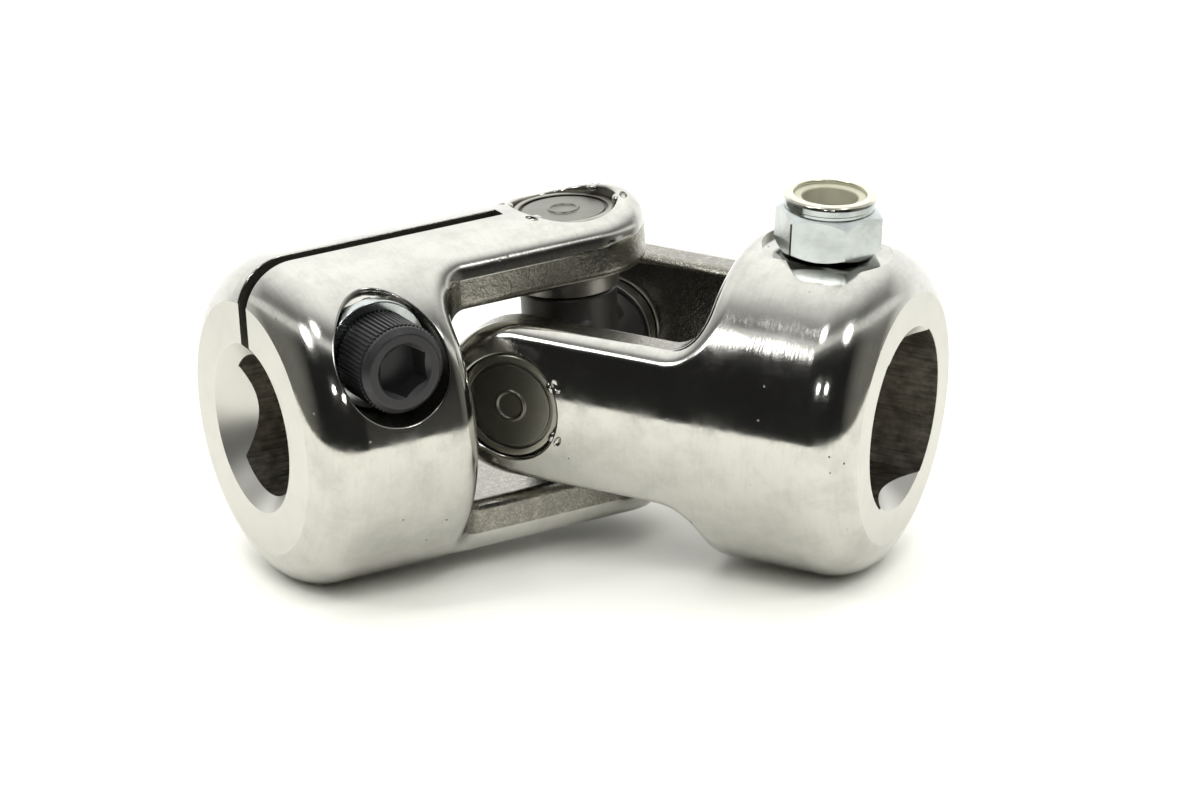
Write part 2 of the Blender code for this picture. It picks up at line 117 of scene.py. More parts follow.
def length(name, description, default):
    return bpy.props.FloatProperty(
        name=name, description=description, default=default * MM, min=0.0,
        subtype="DISTANCE", unit="LENGTH",
    )


def color(name, description, default):
    return bpy.props.FloatVectorProperty(
        name=name, description=description, default=default, min=0.0, max=1.0, size=3,
        subtype="COLOR",
    )


def degrees(name, description, default):
    return bpy.props.FloatProperty(
        name=name, description=description, default=math.radians(default), subtype="ANGLE",
        unit="ROTATION",
    )


class YokeSizes(bpy.types.PropertyGroup):
    hub_radius: length("Hub radius", "Radius of both hubs", 22.225)
    end_distance: length("End distance", "Joint's centre to a hub's end face", 47.6)
    face_radius: length("Face radius", "Outer edge of the flat end face", 17.0)
    end_round: length("End round", "Round from a hub's side to its end face", 7.0)
    ear_inside: length("Ear inside", "Joint's centre to an ear's inner face", 13.3)
    ear_half_width: length("Ear half width", "Half the width of an ear", 10.7)
    ear_fillet: length("Ear fillet", "Fillet from an ear's side into the hub", 4.0)
    ear_round: length("Ear round", "Round along an ear's outer edges", 3.0)
    inner_round: length("Inner round", "Round along an ear's inner edges", 1.4)
    throat_fillet: length("Throat fillet", "Fillet at the bottom of the fork", 4.5)
    shoulder: length("Shoulder", "Joint's centre to the bottom of the fork", 24.501)
    cup_hole: length("Cup hole", "Radius of the hole for a bearing cup", 7.194)
    mouth_round: length("Mouth round", "Broken edge round a hole's mouth", 0.35)
    clamp_bore: length("Clamp bore", "Radius of the clamp yoke's bore", 9.525)
    clamp_flats: length("Clamp flats", "Across the flats of the clamp yoke's bore", 14.2)
    clamp_chamfer: length("Clamp chamfer", "Radius of the chamfer at the clamp yoke's bore", 11.4)
    slit_width: length("Slit width", "Width of the clamp yoke's saw slit", 2.4)
    slit_shift: length("Slit shift", "Slit's middle, towards the pinch screw's head", 0.0)
    slit_end: length("Slit end", "Joint's centre to the inner end of the slit", 9.6)
    slit_round: length("Slit round", "Broken edges of the slit", 0.22)
    pinch_distance: length(
        "Pinch distance", "Joint's centre to the pinch screw along the hub", 35.2)
    pinch_offset: length("Pinch offset", "Hub's axis to the pinch screw", 11.4)
    recess_radius: length("Recess radius", "Radius of the pinch screw's recess", 7.55)
    recess_seat: length("Recess seat", "Hub's middle plane to the washer's seat", 12.0)
    set_bore: length("Set bore", "Radius of the set screw yoke's bore", 12.7)
    set_flats: length("Set flats", "Across the flats of the set screw yoke's bore", 20.3)
    set_chamfer: length("Set chamfer", "Radius of the chamfer at that bore", 12.4)
    set_distance: length("Set distance", "Joint's centre to the set screw along the hub", 35.5)
    nut_seat: length("Nut seat", "Hub's axis to the nut's spot face", 21.4)
    nut_seat_radius: length("Nut seat radius", "Radius of the spot face", 8.6)
    screw_hole: length("Screw hole", "Radius of both screw holes", 4.119)


class BearingSizes(bpy.types.PropertyGroup):
    cup_radius: length("Cup radius", "Radius of a bearing cup", 7.144)
    cup_length: length("Cup length", "Length of a bearing cup", 7.9)
    cup_face: length("Cup face", "Joint's centre to a cup's closed end", 20.8)
    cup_wall: length("Cup wall", "Wall of a cup", 1.0)
    cup_floor: length("Cup floor", "Thickness of a cup's closed end", 1.2)
    trunnion_radius: length("Trunnion radius", "Radius of the cross's bearing ends", 4.6)
    boss_radius: length("Boss radius", "Radius of the cross's bosses", 6.504)
    boss_length: length("Boss length", "Joint's centre to a boss's shoulder", 10.0)
    body_radius: length("Body radius", "Radius of the cross's round body", 8.6)
    body_half_height: length("Body half height", "Half the height of the round body", 5.2)
    seal_thickness: length("Seal thickness", "Thickness of a seal along its arm", 2.1)
    retainer_radius: length("Retainer radius", "Radius of a seal's metal ring", 6.944)
    retainer_wall: length("Retainer wall", "Wall of a seal's metal ring", 0.5)
    gap: length("Gap", "Running gap between faces", 0.3)


class FastenerSizes(bpy.types.PropertyGroup):
    thread_radius: length("Thread radius", "Radius of both threads", 3.969)
    thread_pitch: length("Thread pitch", "Pitch of both threads", 1.058)
    head_radius: length("Head radius", "Radius of the pinch screw's head", 5.956)
    head_height: length("Head height", "Height of the pinch screw's head", 7.938)
    screw_length: length("Screw length", "Pinch screw under its head", 31.75)
    screw_hex: length("Screw hexagon", "Across the flats of its socket", 6.35)
    socket_depth: length("Socket depth", "Depth of both sockets", 4.0)
    washer_radius: length("Washer radius", "Radius of the lock washer", 7.3)
    washer_thickness: length("Washer thickness", "Thickness of the lock washer", 1.9)
    washer_split: length("Washer split", "Gap of the lock washer", 1.0)
    set_length: length("Set screw length", "Length of the set screw", 15.875)
    set_hex: length("Set screw hexagon", "Across the flats of its socket", 3.97)
    nut_flats: length("Nut flats", "Across the nut's flats", 12.7)
    nut_height: length("Nut height", "Height of the nut with its collar", 7.9)
    nut_turn: degrees("Nut turn", "Angle between the nut's flats and the hub", -22.0)
    collar_radius: length("Collar radius", "Radius of the nut's collar", 6.1)
    collar_height: length("Collar height", "Height of the nut's collar", 2.0)
    lip_radius: length("Lip radius", "Opening of the nut's rolled lip", 4.8)
    lip_thickness: length("Lip thickness", "Thickness of the nut's rolled lip", 0.5)
    insert_radius: length("Insert radius", "Radius of the nylon ring", 5.2)
    insert_height: length("Insert height", "Height of the nylon ring", 2.7)
    insert_bore: length("Insert bore", "Opening of the nylon ring", 3.7)


class Finishes(bpy.types.PropertyGroup):
    steel: color("Polished steel", "Polished hubs and ears", (0.51, 0.505, 0.468))
    face_steel: color("End face", "Machined end faces", (0.53, 0.525, 0.49))
    forged_steel: color("Forged steel", "Sides and insides of the ears", (0.31, 0.30, 0.26))
    bore_steel: color("Broached steel", "Inside the bores", (0.36, 0.335, 0.29))
    cup_steel: color("Cup steel", "Closed ends of the cups", (0.215, 0.21, 0.18))
    zinc: color("Zinc", "Nut and lock washer", (0.50, 0.535, 0.53))
    zinc_tint: color("Zinc tint", "Warm tint on the nut's rolled lip", (0.86, 0.80, 0.58))
    black_oxide: color("Black oxide", "Socket screws", (0.045, 0.044, 0.046))
    phosphate: color("Phosphate", "The cross", (0.055, 0.054, 0.052))
    rubber: color("Rubber", "Seals", (0.018, 0.018, 0.018))
    retainer: color("Retainer", "Metal rings of the seals", (0.30, 0.29, 0.27))
    nylon: color("Nylon", "The nut's insert", (0.42, 0.41, 0.30))
    floor: color("Floor", "The studio floor", (0.90, 0.895, 0.84))


def millimetres(sizes):
    """The lengths of a property group in millimetres, and its angles in degrees."""
    found = SimpleNamespace()
    for name in sizes.__annotations__:
        turns = sizes.bl_rna.properties[name].unit == "ROTATION"
        value = getattr(sizes, name)
        setattr(found, name, math.degrees(value) if turns else value / MM)
    return found


# Shader maths

class Wire:
    """A shader socket that takes part in Python arithmetic."""

    def __init__(self, tree, socket):
        self.tree, self.socket = tree, socket

    def math(self, operation, *values):
        node = self.tree.nodes.new("ShaderNodeMath")
        node.operation = operation
        for slot, value in zip(node.inputs, values):
            feed(self.tree, slot, value)
        return Wire(self.tree, node.outputs[0])

    def __add__(self, other):
        return self.math("ADD", self, other)

    def __sub__(self, other):
        return self.math("SUBTRACT", self, other)

    def __rsub__(self, other):
        return self.math("SUBTRACT", other, self)

    def __mul__(self, other):
        return self.math("MULTIPLY", self, other)

    def __truediv__(self, other):
        return self.math("DIVIDE", self, other)

    __radd__, __rmul__ = __add__, __mul__

    def clamped(self):
        return self.math("MINIMUM", self.math("MAXIMUM", self, 0.0), 1.0)


def feed(tree, slot, value):
    if isinstance(value, Wire):
        tree.links.new(value.socket, slot)
    else:
        slot.default_value = value


class Nodes:
    """Adds nodes to a shader tree."""

    def __init__(self, tree):
        self.tree = tree

    def node(self, kind, settings=None, output=0, **values):
        """Adds a node. Its settings come first, then the values or links of its sockets."""
        node = self.tree.nodes.new(kind)
        for name, value in (settings or {}).items():
            if name == "stops":
                ramp = node.color_ramp.elements
                for _ in range(len(value) - 2):
                    ramp.new(0.5)
                for element, (place, shade) in zip(ramp, value):
                    element.position, element.color = place, (shade, shade, shade, 1.0)
            else:
                setattr(node, name, value)
        for name, value in values.items():
            feed(self.tree, node.inputs[name.replace("_", " ")], value)
        return Wire(self.tree, node.outputs[output])

    def ramp(self, value, *stops):
        return self.node("ShaderNodeValToRGB", {"stops": stops}, Fac=value)

    def rise(self, value, low, high):
        """0 up to the low value, 1 from the high value on."""
        return self.ramp(value, (low, 0.0), (high, 1.0))


class Finish(Nodes):
    """A material with a Principled shader, and the nodes that vary it."""

    def __init__(self, name, base, roughness, metallic=1.0, place=None):
        self.material = bpy.data.materials.new(name)
        self.material.use_nodes = True
        self.tree = self.material.node_tree
        self.shader = self.tree.nodes["Principled BSDF"]
        self.base, self.roughness = (*base, 1.0), roughness
        self.set("Base Color", self.base)
        self.set("Roughness", roughness)
        self.set("Metallic", metallic)
        self.material.diffuse_color = self.base
        place = Matrix.Identity(4) if place is None else place
        world = self.node("ShaderNodeTexCoord", output="Object")
        self.point = self.node(
            "ShaderNodeMapping", {"vector_type": "TEXTURE"}, Vector=world,
            Location=place.translation, Rotation=place.to_euler(), Scale=(MM, MM, MM),
        )

    def set(self, name, value):
        feed(self.tree, self.shader.inputs[name], value)

    def stretched(self, scales):
        """The point in millimetres with each axis scaled."""
        node = self.tree.nodes.new("ShaderNodeVectorMath")
        node.operation = "MULTIPLY"
        feed(self.tree, node.inputs[0], self.point)
        node.inputs[1].default_value = scales
        return Wire(self.tree, node.outputs[0])

    def grain(self, scale, detail=2.0, vector=None, roughness=0.5):
        """Noise from 0 to 1. The scale is in features to the millimetre."""
        return self.node(
            "ShaderNodeTexNoise", Vector=vector or self.point, Scale=scale, Detail=detail,
            Roughness=roughness,
        )

    def radius(self):
        """Distance from the frame's own Z axis in millimetres."""
        node = self.tree.nodes.new("ShaderNodeVectorMath")
        node.operation = "LENGTH"
        feed(self.tree, node.inputs[0], self.stretched((1, 1, 0)))
        return Wire(self.tree, node.outputs["Value"])

    def mixed(self, mask, first, second):
        """A colour that goes from first to second as the mask rises."""
        node = self.tree.nodes.new("ShaderNodeMix")
        node.data_type = "RGBA"
        for index, value in ((0, mask), (6, first), (7, second)):
            value = (*value, 1.0) if isinstance(value, tuple) and len(value) == 3 else value
            feed(self.tree, node.inputs[index], value)
        return Wire(self.tree, node.outputs[2])

    def tint(self, mask, shade):
        """Changes the base colour to this shade where the mask is high."""
        found = self.shader.inputs["Base Color"]
        before = Wire(self.tree, found.links[0].from_socket) if found.links else self.base
        self.set("Base Color", self.mixed(mask, before, shade))

    def patches(self, value, low, high, share, factor):
        """Scales this share of the base colour by the factor where the value is high."""
        self.tint(self.rise(value, low, high) * share, shaded(self.base[:3], factor))

    def bump(self, height, depth, before=None):
        """A bump of this depth in millimetres, over an earlier one."""
        values = {"Height": height, "Distance": depth * MM, "Strength": 1.0}
        if before is not None:
            values["Normal"] = before
        bumped = self.node("ShaderNodeBump", **values)
        self.set("Normal", bumped)
        return bumped


def shaded(base, factor):
    return tuple(min(1.0, channel * factor) for channel in base)


def polished_steel(name, base, place, seed):
    """Buffed steel with brush marks round the hub, soft waves, stains and a few pits."""
    finish = Finish(name, base, 0.14, place=place)
    marks = finish.grain(1.0, 4.0, finish.stretched((0.14, 0.14, 2.6)), 0.7)
    fine = finish.grain(1.0, 2.0, finish.stretched((0.6, 0.6, 9.0)), 0.6)
    waves = finish.grain(0.10 + seed, 2.0)
    stains = finish.grain(0.19 + seed, 5.0, roughness=0.7)
    mottle = finish.grain(1.6, 3.0, roughness=0.65)
    cells = finish.node("ShaderNodeTexVoronoi", Vector=finish.point, Scale=0.36 + seed)
    pit = (1.0 - finish.ramp(cells, (0.0, 0.0), (0.03, 0.0), (0.07, 1.0))) * finish.rise(
        waves, 0.52, 0.56)
    dull = finish.rise(stains, 0.44, 0.66)
    finish.set("Roughness", (
        0.035 + marks * 0.06 + fine * 0.03 + dull * 0.08 + mottle * 0.03 + pit * 0.35).clamped())
    finish.set("Base Color", finish.mixed(dull * 0.6, base, shaded(base, 0.74)))
    finish.patches(marks, 0.5, 0.8, 0.35, 0.72)
    finish.tint(pit * 0.9, shaded(base, 0.12))
    first = finish.bump(waves, 0.05)
    second = finish.bump(marks, 0.0065, first)
    third = finish.bump(fine, 0.0010, second)
    fourth = finish.bump(mottle, 0.0035, third)
    finish.bump(1.0 - pit, 0.03, fourth)
    return finish.material


def face_steel(name, base, place):
    """A turned end face: fine rings and a soft, even gloss."""
    finish = Finish(name, base, 0.32, place=place)
    rings = finish.grain(1.0, 2.0, finish.node(
        "ShaderNodeCombineXYZ", X=finish.radius() * 7.0, Y=0.0, Z=0.0), 0.7)
    patches = finish.grain(0.3, 3.0)
    finish.set("Roughness", (0.26 + rings * 0.12 + patches * 0.08).clamped())
    finish.patches(patches, 0.5, 0.8, 0.3, 0.86)
    finish.bump(rings, 0.0022)
    return finish.material


def forged_steel(name, base, place):
    """Satin forged steel: a fine grain, darker stains and bright rubbed specks."""
    finish = Finish(name, base, 0.3, place=place)
    coarse = finish.grain(0.9, 4.0, roughness=0.65)
    fine = finish.grain(3.6, 3.0, roughness=0.65)
    broad = finish.grain(0.2, 2.0)
    rub = finish.rise(coarse * 0.4 + fine * 0.6, 0.46, 0.66)
    finish.set("Base Color", finish.mixed(rub, shaded(base, 0.72), shaded(base, 1.3)))
    finish.patches(broad, 0.45, 0.75, 0.5, 0.6)
    finish.set("Roughness", (0.21 - rub * 0.06 + fine * 0.08).clamped())
    first = finish.bump(coarse, 0.07)
    finish.bump(fine, 0.018, first)
    return finish.material


def broached_steel(name, base, place):
    """A bore with tool marks along it and a mottled, oily surface."""
    finish = Finish(name, base, 0.3, place=place)
    marks = finish.grain(1.0, 3.0, finish.stretched((2.2, 2.2, 0.22)), 0.6)
    mottle = finish.grain(0.7, 4.0, roughness=0.6)
    finish.set("Base Color", finish.mixed(
        finish.rise(mottle * 0.5 + marks * 0.5, 0.40, 0.62),
        shaded(base, 0.55), shaded(base, 1.3)))
    finish.set("Roughness", (0.30 + mottle * 0.18).clamped())
    first = finish.bump(marks, 0.03)
    finish.bump(mottle, 0.02, first)
    return finish.material


def milled_steel(name, base, place):
    """Drilled and sawn surfaces that no one polished."""
    finish = Finish(name, base, 0.35, place=place)
    marks = finish.grain(1.0, 2.0, finish.stretched((4.0, 0.6, 4.0)), 0.6)
    finish.set("Roughness", (0.28 + marks * 0.18).clamped())
    finish.patches(marks, 0.4, 0.7, 0.5, 0.5)
    finish.bump(marks, 0.01)
    return finish.material


def cup_steel(name, base, place):
    """Turned cup end with an olive oil film, darker inside a radius of 6 mm and lighter on the rim beyond it."""
    finish = Finish(name, base, 0.3, place=place)
    radius = finish.radius()
    rings = finish.grain(1.0, 2.0, finish.node(
        "ShaderNodeCombineXYZ", X=radius * 5.0, Y=0.0, Z=0.0))
    film = finish.grain(0.35, 4.0, roughness=0.6)
    specks = finish.grain(5.0, 2.0)
    edge = finish.rise(radius / 10.0, 0.60, 0.63)
    finish.set("Base Color", finish.mixed(edge, shaded(base, 0.82), shaded(base, 1.5)))
    finish.patches(film, 0.45, 0.75, 0.5, 0.62)
    finish.set("Roughness", (0.20 + rings * 0.12 + film * 0.10).clamped())
    first = finish.bump(rings, 0.003)
    finish.bump(specks, 0.004, first)
    return finish.material


def black_coating(name, base, place, metallic, roughness):
    """Black oxide or phosphate: fine grain, oily patches, and grey where it has rubbed."""
    finish = Finish(name, base, roughness, metallic, place)
    grain = finish.grain(7.0, 3.0, roughness=0.6)
    oil = finish.grain(0.5, 3.0)
    rub = finish.rise(grain * 0.6 + oil * 0.4, 0.55, 0.72)
    finish.tint(rub * 0.6, shaded(base, 2.6))
    finish.set("Roughness", (roughness - 0.08 + oil * 0.2 + grain * 0.06).clamped())
    finish.bump(grain, 0.006)
    return finish.material


def zinc_plate(name, base, tint, place, lip_height):
    """Bright blue zinc with a frosted grain, and a warm tint on the rolled lip."""
    finish = Finish(name, base, 0.28, place=place)
    frost = finish.grain(3.2, 4.0, roughness=0.65)
    cloud = finish.grain(0.35, 2.0)
    height = finish.node("ShaderNodeSeparateXYZ", output="Z", Vector=finish.point)
    lip = finish.ramp((height - lip_height) + 0.5, (0.42, 0.0), (0.6, 1.0))
    finish.set("Base Color", finish.mixed(
        finish.rise(cloud, 0.4, 0.7), base, shaded(base, 0.82)))
    finish.tint(lip * 0.55, tint)
    finish.set("Roughness", (0.11 + frost * 0.12 + cloud * 0.05).clamped())
    first = finish.bump(cloud, 0.03)
    finish.bump(frost, 0.006, first)
    return finish.material


def soft_polymer(name, base, place, roughness, depth):
    """Rubber or nylon: a fine moulded grain and slight wear."""
    finish = Finish(name, base, roughness, 0.0, place)
    grain = finish.grain(3.0, 3.0)
    wear = finish.grain(0.6, 2.0)
    finish.patches(wear, 0.45, 0.75, 0.4, 0.7)
    finish.set("Roughness", (roughness - 0.06 + grain * 0.14).clamped())
    finish.bump(grain, depth)
    return finish.material


def needle_steel(name, place):
    finish = Finish(name, (0.72, 0.72, 0.71), 0.16, place=place)
    marks = finish.grain(1.0, 2.0, finish.stretched((0.6, 0.6, 8.0)))
    finish.set("Roughness", (0.12 + marks * 0.1).clamped())
    finish.tint(finish.rise(marks, 0.5, 0.8) * 0.3, (0.5, 0.49, 0.46))
    finish.bump(marks, 0.001)
    return finish.material


# Outlines and profiles

def arc_points(center, radius, start, end, steps):
    """Points on an arc between two angles in degrees, both ends included."""
    turns = [math.radians(start + (end - start) * i / steps) for i in range(steps + 1)]
    return [(center[0] + radius * math.cos(a), center[1] + radius * math.sin(a)) for a in turns]


def run(*points, slot=SKIN):
    """Straight profile edges through the points: (start, end, normal, normal, slot)."""
    edges = []
    for start, end in zip(points, points[1:]):
        along = Vector((end[0] - start[0], end[1] - start[1])).normalized()
        normal = Vector((-along.y, along.x))
        edges.append((start, end, normal, normal, slot))
    return edges


def bend(center, radius, start, end, steps=10, slot=SKIN):
    """Profile edges round an arc, with the arc's own normals."""
    points = arc_points(center, radius, start, end, steps)
    normals = [(Vector(p) - Vector(center)).normalized() for p in points]
    return [(*points[i:i + 2], *normals[i:i + 2], slot) for i in range(steps)]


def outer_side(radius, low, high, soft, steps):
    """A ring's outer side from the top down, with both edges rounded."""
    edges = bend((radius - soft, high - soft), soft, 90, 0, steps)
    edges += run((radius, high - soft), (radius, low + soft))
    return edges + bend((radius - soft, low + soft), soft, 0, -90, steps)


# Solids, in millimetres

def slot_marks():
    """Stand-in materials: a boolean keeps a face's slot only where both sides share them."""
    names = [f"slot_{slot}" for slot in range(5)]
    return [bpy.data.materials.get(name) or bpy.data.materials.new(name) for name in names]


def keep_normals(mesh, rule=None):
    """Stores each corner's exact normal where cuts carry it along. The rule may know better."""
    mesh.shade_smooth()
    mesh.set_sharp_from_angle(angle=SHARP_ANGLE)
    found = [corner.vector.copy() for corner in mesh.corner_normals]
    for face in mesh.polygons if rule else ():
        for corner in face.loop_indices:
            normal = rule(face, mesh.vertices[mesh.loops[corner].vertex_index].co)
            if normal is not None:
                found[corner] = normal if normal.dot(face.normal) > 0 else -normal
    kept = mesh.attributes.new(FINISH_NORMAL, "FLOAT_VECTOR", "CORNER")
    kept.data.foreach_set("vector", [value for normal in found for value in normal])


def solid(name, shape, rule=None, slot=None):
    """A scene object of this bmesh, with its normals stored."""
    mesh = bpy.data.meshes.new(name)
    shape.to_mesh(mesh)
    shape.free()
    for mark in slot_marks():
        mesh.materials.append(mark)
    if slot is not None:
        mesh.polygons.foreach_set("material_index", [slot] * len(mesh.polygons))
    keep_normals(mesh, rule)
    built = bpy.data.objects.new(name, mesh)
    bpy.context.scene.collection.objects.link(built)
    return built


def moved(built, matrix):
    """Moves a solid in its mesh, with its stored normals."""
    built.data.transform(matrix)
    turn = matrix.to_3x3().normalized()
    for corner in built.data.attributes[FINISH_NORMAL].data:
        corner.vector = turn @ Vector(corner.vector)
    return built


def spun(name, edges, steps=96, matrix=None):
    """A solid turned about Z from profile edges."""
    shape = bmesh.new()
    for start, end, _, _, _ in edges:
        ends = [shape.verts.new((x, 0, z)) for x, z in (start, end)]
        shape.edges.new(ends)
    bmesh.ops.remove_doubles(shape, verts=shape.verts, dist=MERGE)
    bmesh.ops.spin(
        shape, geom=shape.verts[:] + shape.edges[:], cent=(0, 0, 0), axis=(0, 0, 1),
        angle=math.tau, steps=steps, use_merge=True, use_duplicate=False,
    )
    bmesh.ops.remove_doubles(shape, verts=shape.verts, dist=MERGE)
    bmesh.ops.recalc_face_normals(shape, faces=shape.faces)
    middles = [(Vector(start) + Vector(end)) / 2 for start, end, *_ in edges]

    def edge_of(face):
        height = sum(v.co.z for v in face.verts) / len(face.verts)
        reach = [v.co.xy.length for v in face.verts]
        middle = Vector(((min(reach) + max(reach)) / 2, height))
        return min(range(len(edges)), key=lambda i: (middles[i] - middle).length_squared)

    owners = []
    for face in shape.faces:
        owners.append(edge_of(face))
        face.material_index = edges[owners[-1]][4]

    def rule(face, corner):
        start, end, first, last, _ = edges[owners[face.index]]
        reach = Vector((corner.xy.length, corner.z))
        near = (reach - Vector(start)).length < (reach - Vector(end)).length
        normal = first if near else last
        around = corner.xy.normalized() if corner.xy.length > TINY else face.center.xy.normalized()
        return Vector((around.x * normal.x, around.y * normal.x, normal.y))

    built = solid(name, shape, rule)
    return moved(built, matrix) if matrix else built


def prism(name, outline, low, high, matrix=None, slot=SKIN):
    """An outline extruded along Z."""
    shape = bmesh.new()
    face = shape.faces.new([shape.verts.new((x, y, low)) for x, y in outline])
    grown = bmesh.ops.extrude_face_region(shape, geom=[face])["geom"]
    lifted = [item for item in grown if isinstance(item, bmesh.types.BMVert)]
    bmesh.ops.translate(shape, verts=lifted, vec=(0, 0, high - low))
    bmesh.ops.recalc_face_normals(shape, faces=shape.faces)
    built = solid(name, shape, slot=slot)
    return moved(built, matrix) if matrix else built


def edge_cutter(name, spine, radius, closed=True, slot=SKIN, steps=12):
    """What a ball of this radius leaves of an edge as it rolls along inside it.

    The spine holds the ball's centres, each with the outward normals of the two surfaces.
    """
    if closed:
        spine = spine + spine[:1]
    rows = steps + 3
    shape = bmesh.new()
    size = 1000.0
    bmesh.ops.create_grid(shape, x_segments=len(spine) - 1, y_segments=rows, size=size)
    exact = {}
    for vertex in shape.verts:
        column = round((vertex.co.x + size) / (2 * size) * (len(spine) - 1))
        row = round((vertex.co.y + size) / (2 * size) * rows) % rows
        center, first, second = spine[column]
        share = (first + second) / (1 + first.dot(second))
        if row <= steps:
            normal = first.slerp(second, row / steps)
            vertex.co = center + radius * normal
            exact[vertex.co.copy().freeze()] = normal
        elif row == steps + 1:
            vertex.co = center + radius * share + PAST * second + 0.4 * PAST * first
        else:
            vertex.co = center + radius * share + PAST * first + 0.4 * PAST * second
    bmesh.ops.remove_doubles(shape, verts=shape.verts, dist=MERGE)
    if not closed:
        bmesh.ops.holes_fill(shape, edges=[e for e in shape.edges if e.is_boundary], sides=0)
    bmesh.ops.recalc_face_normals(shape, faces=shape.faces)

    shape.verts.ensure_lookup_table()
    on_ball = {vertex.index for vertex in shape.verts if vertex.co.copy().freeze() in exact}

    def rule(face, corner):
        return exact.get(corner.copy().freeze()) if on_ball.issuperset(face.vertices) else None

    return solid(name, shape, rule, slot)


def cut(target, tool, operation="DIFFERENCE"):
    """Adds a boolean. A difference turns the tool's stored normals round."""
    if operation == "DIFFERENCE":
        for corner in tool.data.attributes[FINISH_NORMAL].data:
            corner.vector = -Vector(corner.vector)
    modifier = target.modifiers.new(tool.name, "BOOLEAN")
    modifier.operation, modifier.solver, modifier.object = operation, "MANIFOLD", tool


def finished(target, place, body, nodes, slot, *materials):
    """Applies the cuts, puts the piece in its place, hides the parts that it stands for and hangs it on its body.
    """
    bpy.context.view_layer.update()
    graph = bpy.context.evaluated_depsgraph_get()
    mesh = bpy.data.meshes.new_from_object(target.evaluated_get(graph))
    tools = [modifier.object for modifier in target.modifiers]
    target.modifiers.clear()
    for tool in tools:
        bpy.data.objects.remove(tool)
    shape = bmesh.new()
    shape.from_mesh(mesh)
    bmesh.ops.remove_doubles(shape, verts=shape.verts, dist=WELD)
    bmesh.ops.dissolve_degenerate(shape, edges=shape.edges, dist=WELD)
    open_edges = sum(not edge.is_manifold for edge in shape.edges)
    if open_edges or not shape.faces:
        print(f"NOTE {target.name}: {open_edges} open edges, {len(shape.faces)} faces")
    shape.to_mesh(mesh)
    shape.free()
    mesh.transform(place @ Matrix.Scale(MM, 4))
    turn = place.to_3x3()
    normals = []
    for corner in mesh.attributes[FINISH_NORMAL].data:
        normals.append((turn @ Vector(corner.vector)).normalized())
    mesh.shade_smooth()
    mesh.normals_split_custom_set(normals)
    mesh.attributes.remove(mesh.attributes[FINISH_NORMAL])
    mesh.name = target.name
    target.data = mesh
    slots = [face.material_index for face in mesh.polygons]
    mesh.materials.clear()
    for material in materials:
        mesh.materials.append(material)
    mesh.polygons.foreach_set("material_index", slots if len(materials) > 1 else [0] * len(slots))
    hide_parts(*nodes)
    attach(target, body)
    return target


# Yokes

ALONG_X = axes_frame((0, 0, 0), (1, 0, 0), (0, 1, 0))  # an outline's x and y become y and z
ALONG_Y = axes_frame((0, 0, 0), (0, -1, 0), (1, 0, 0))  # an outline's x and y become x and z


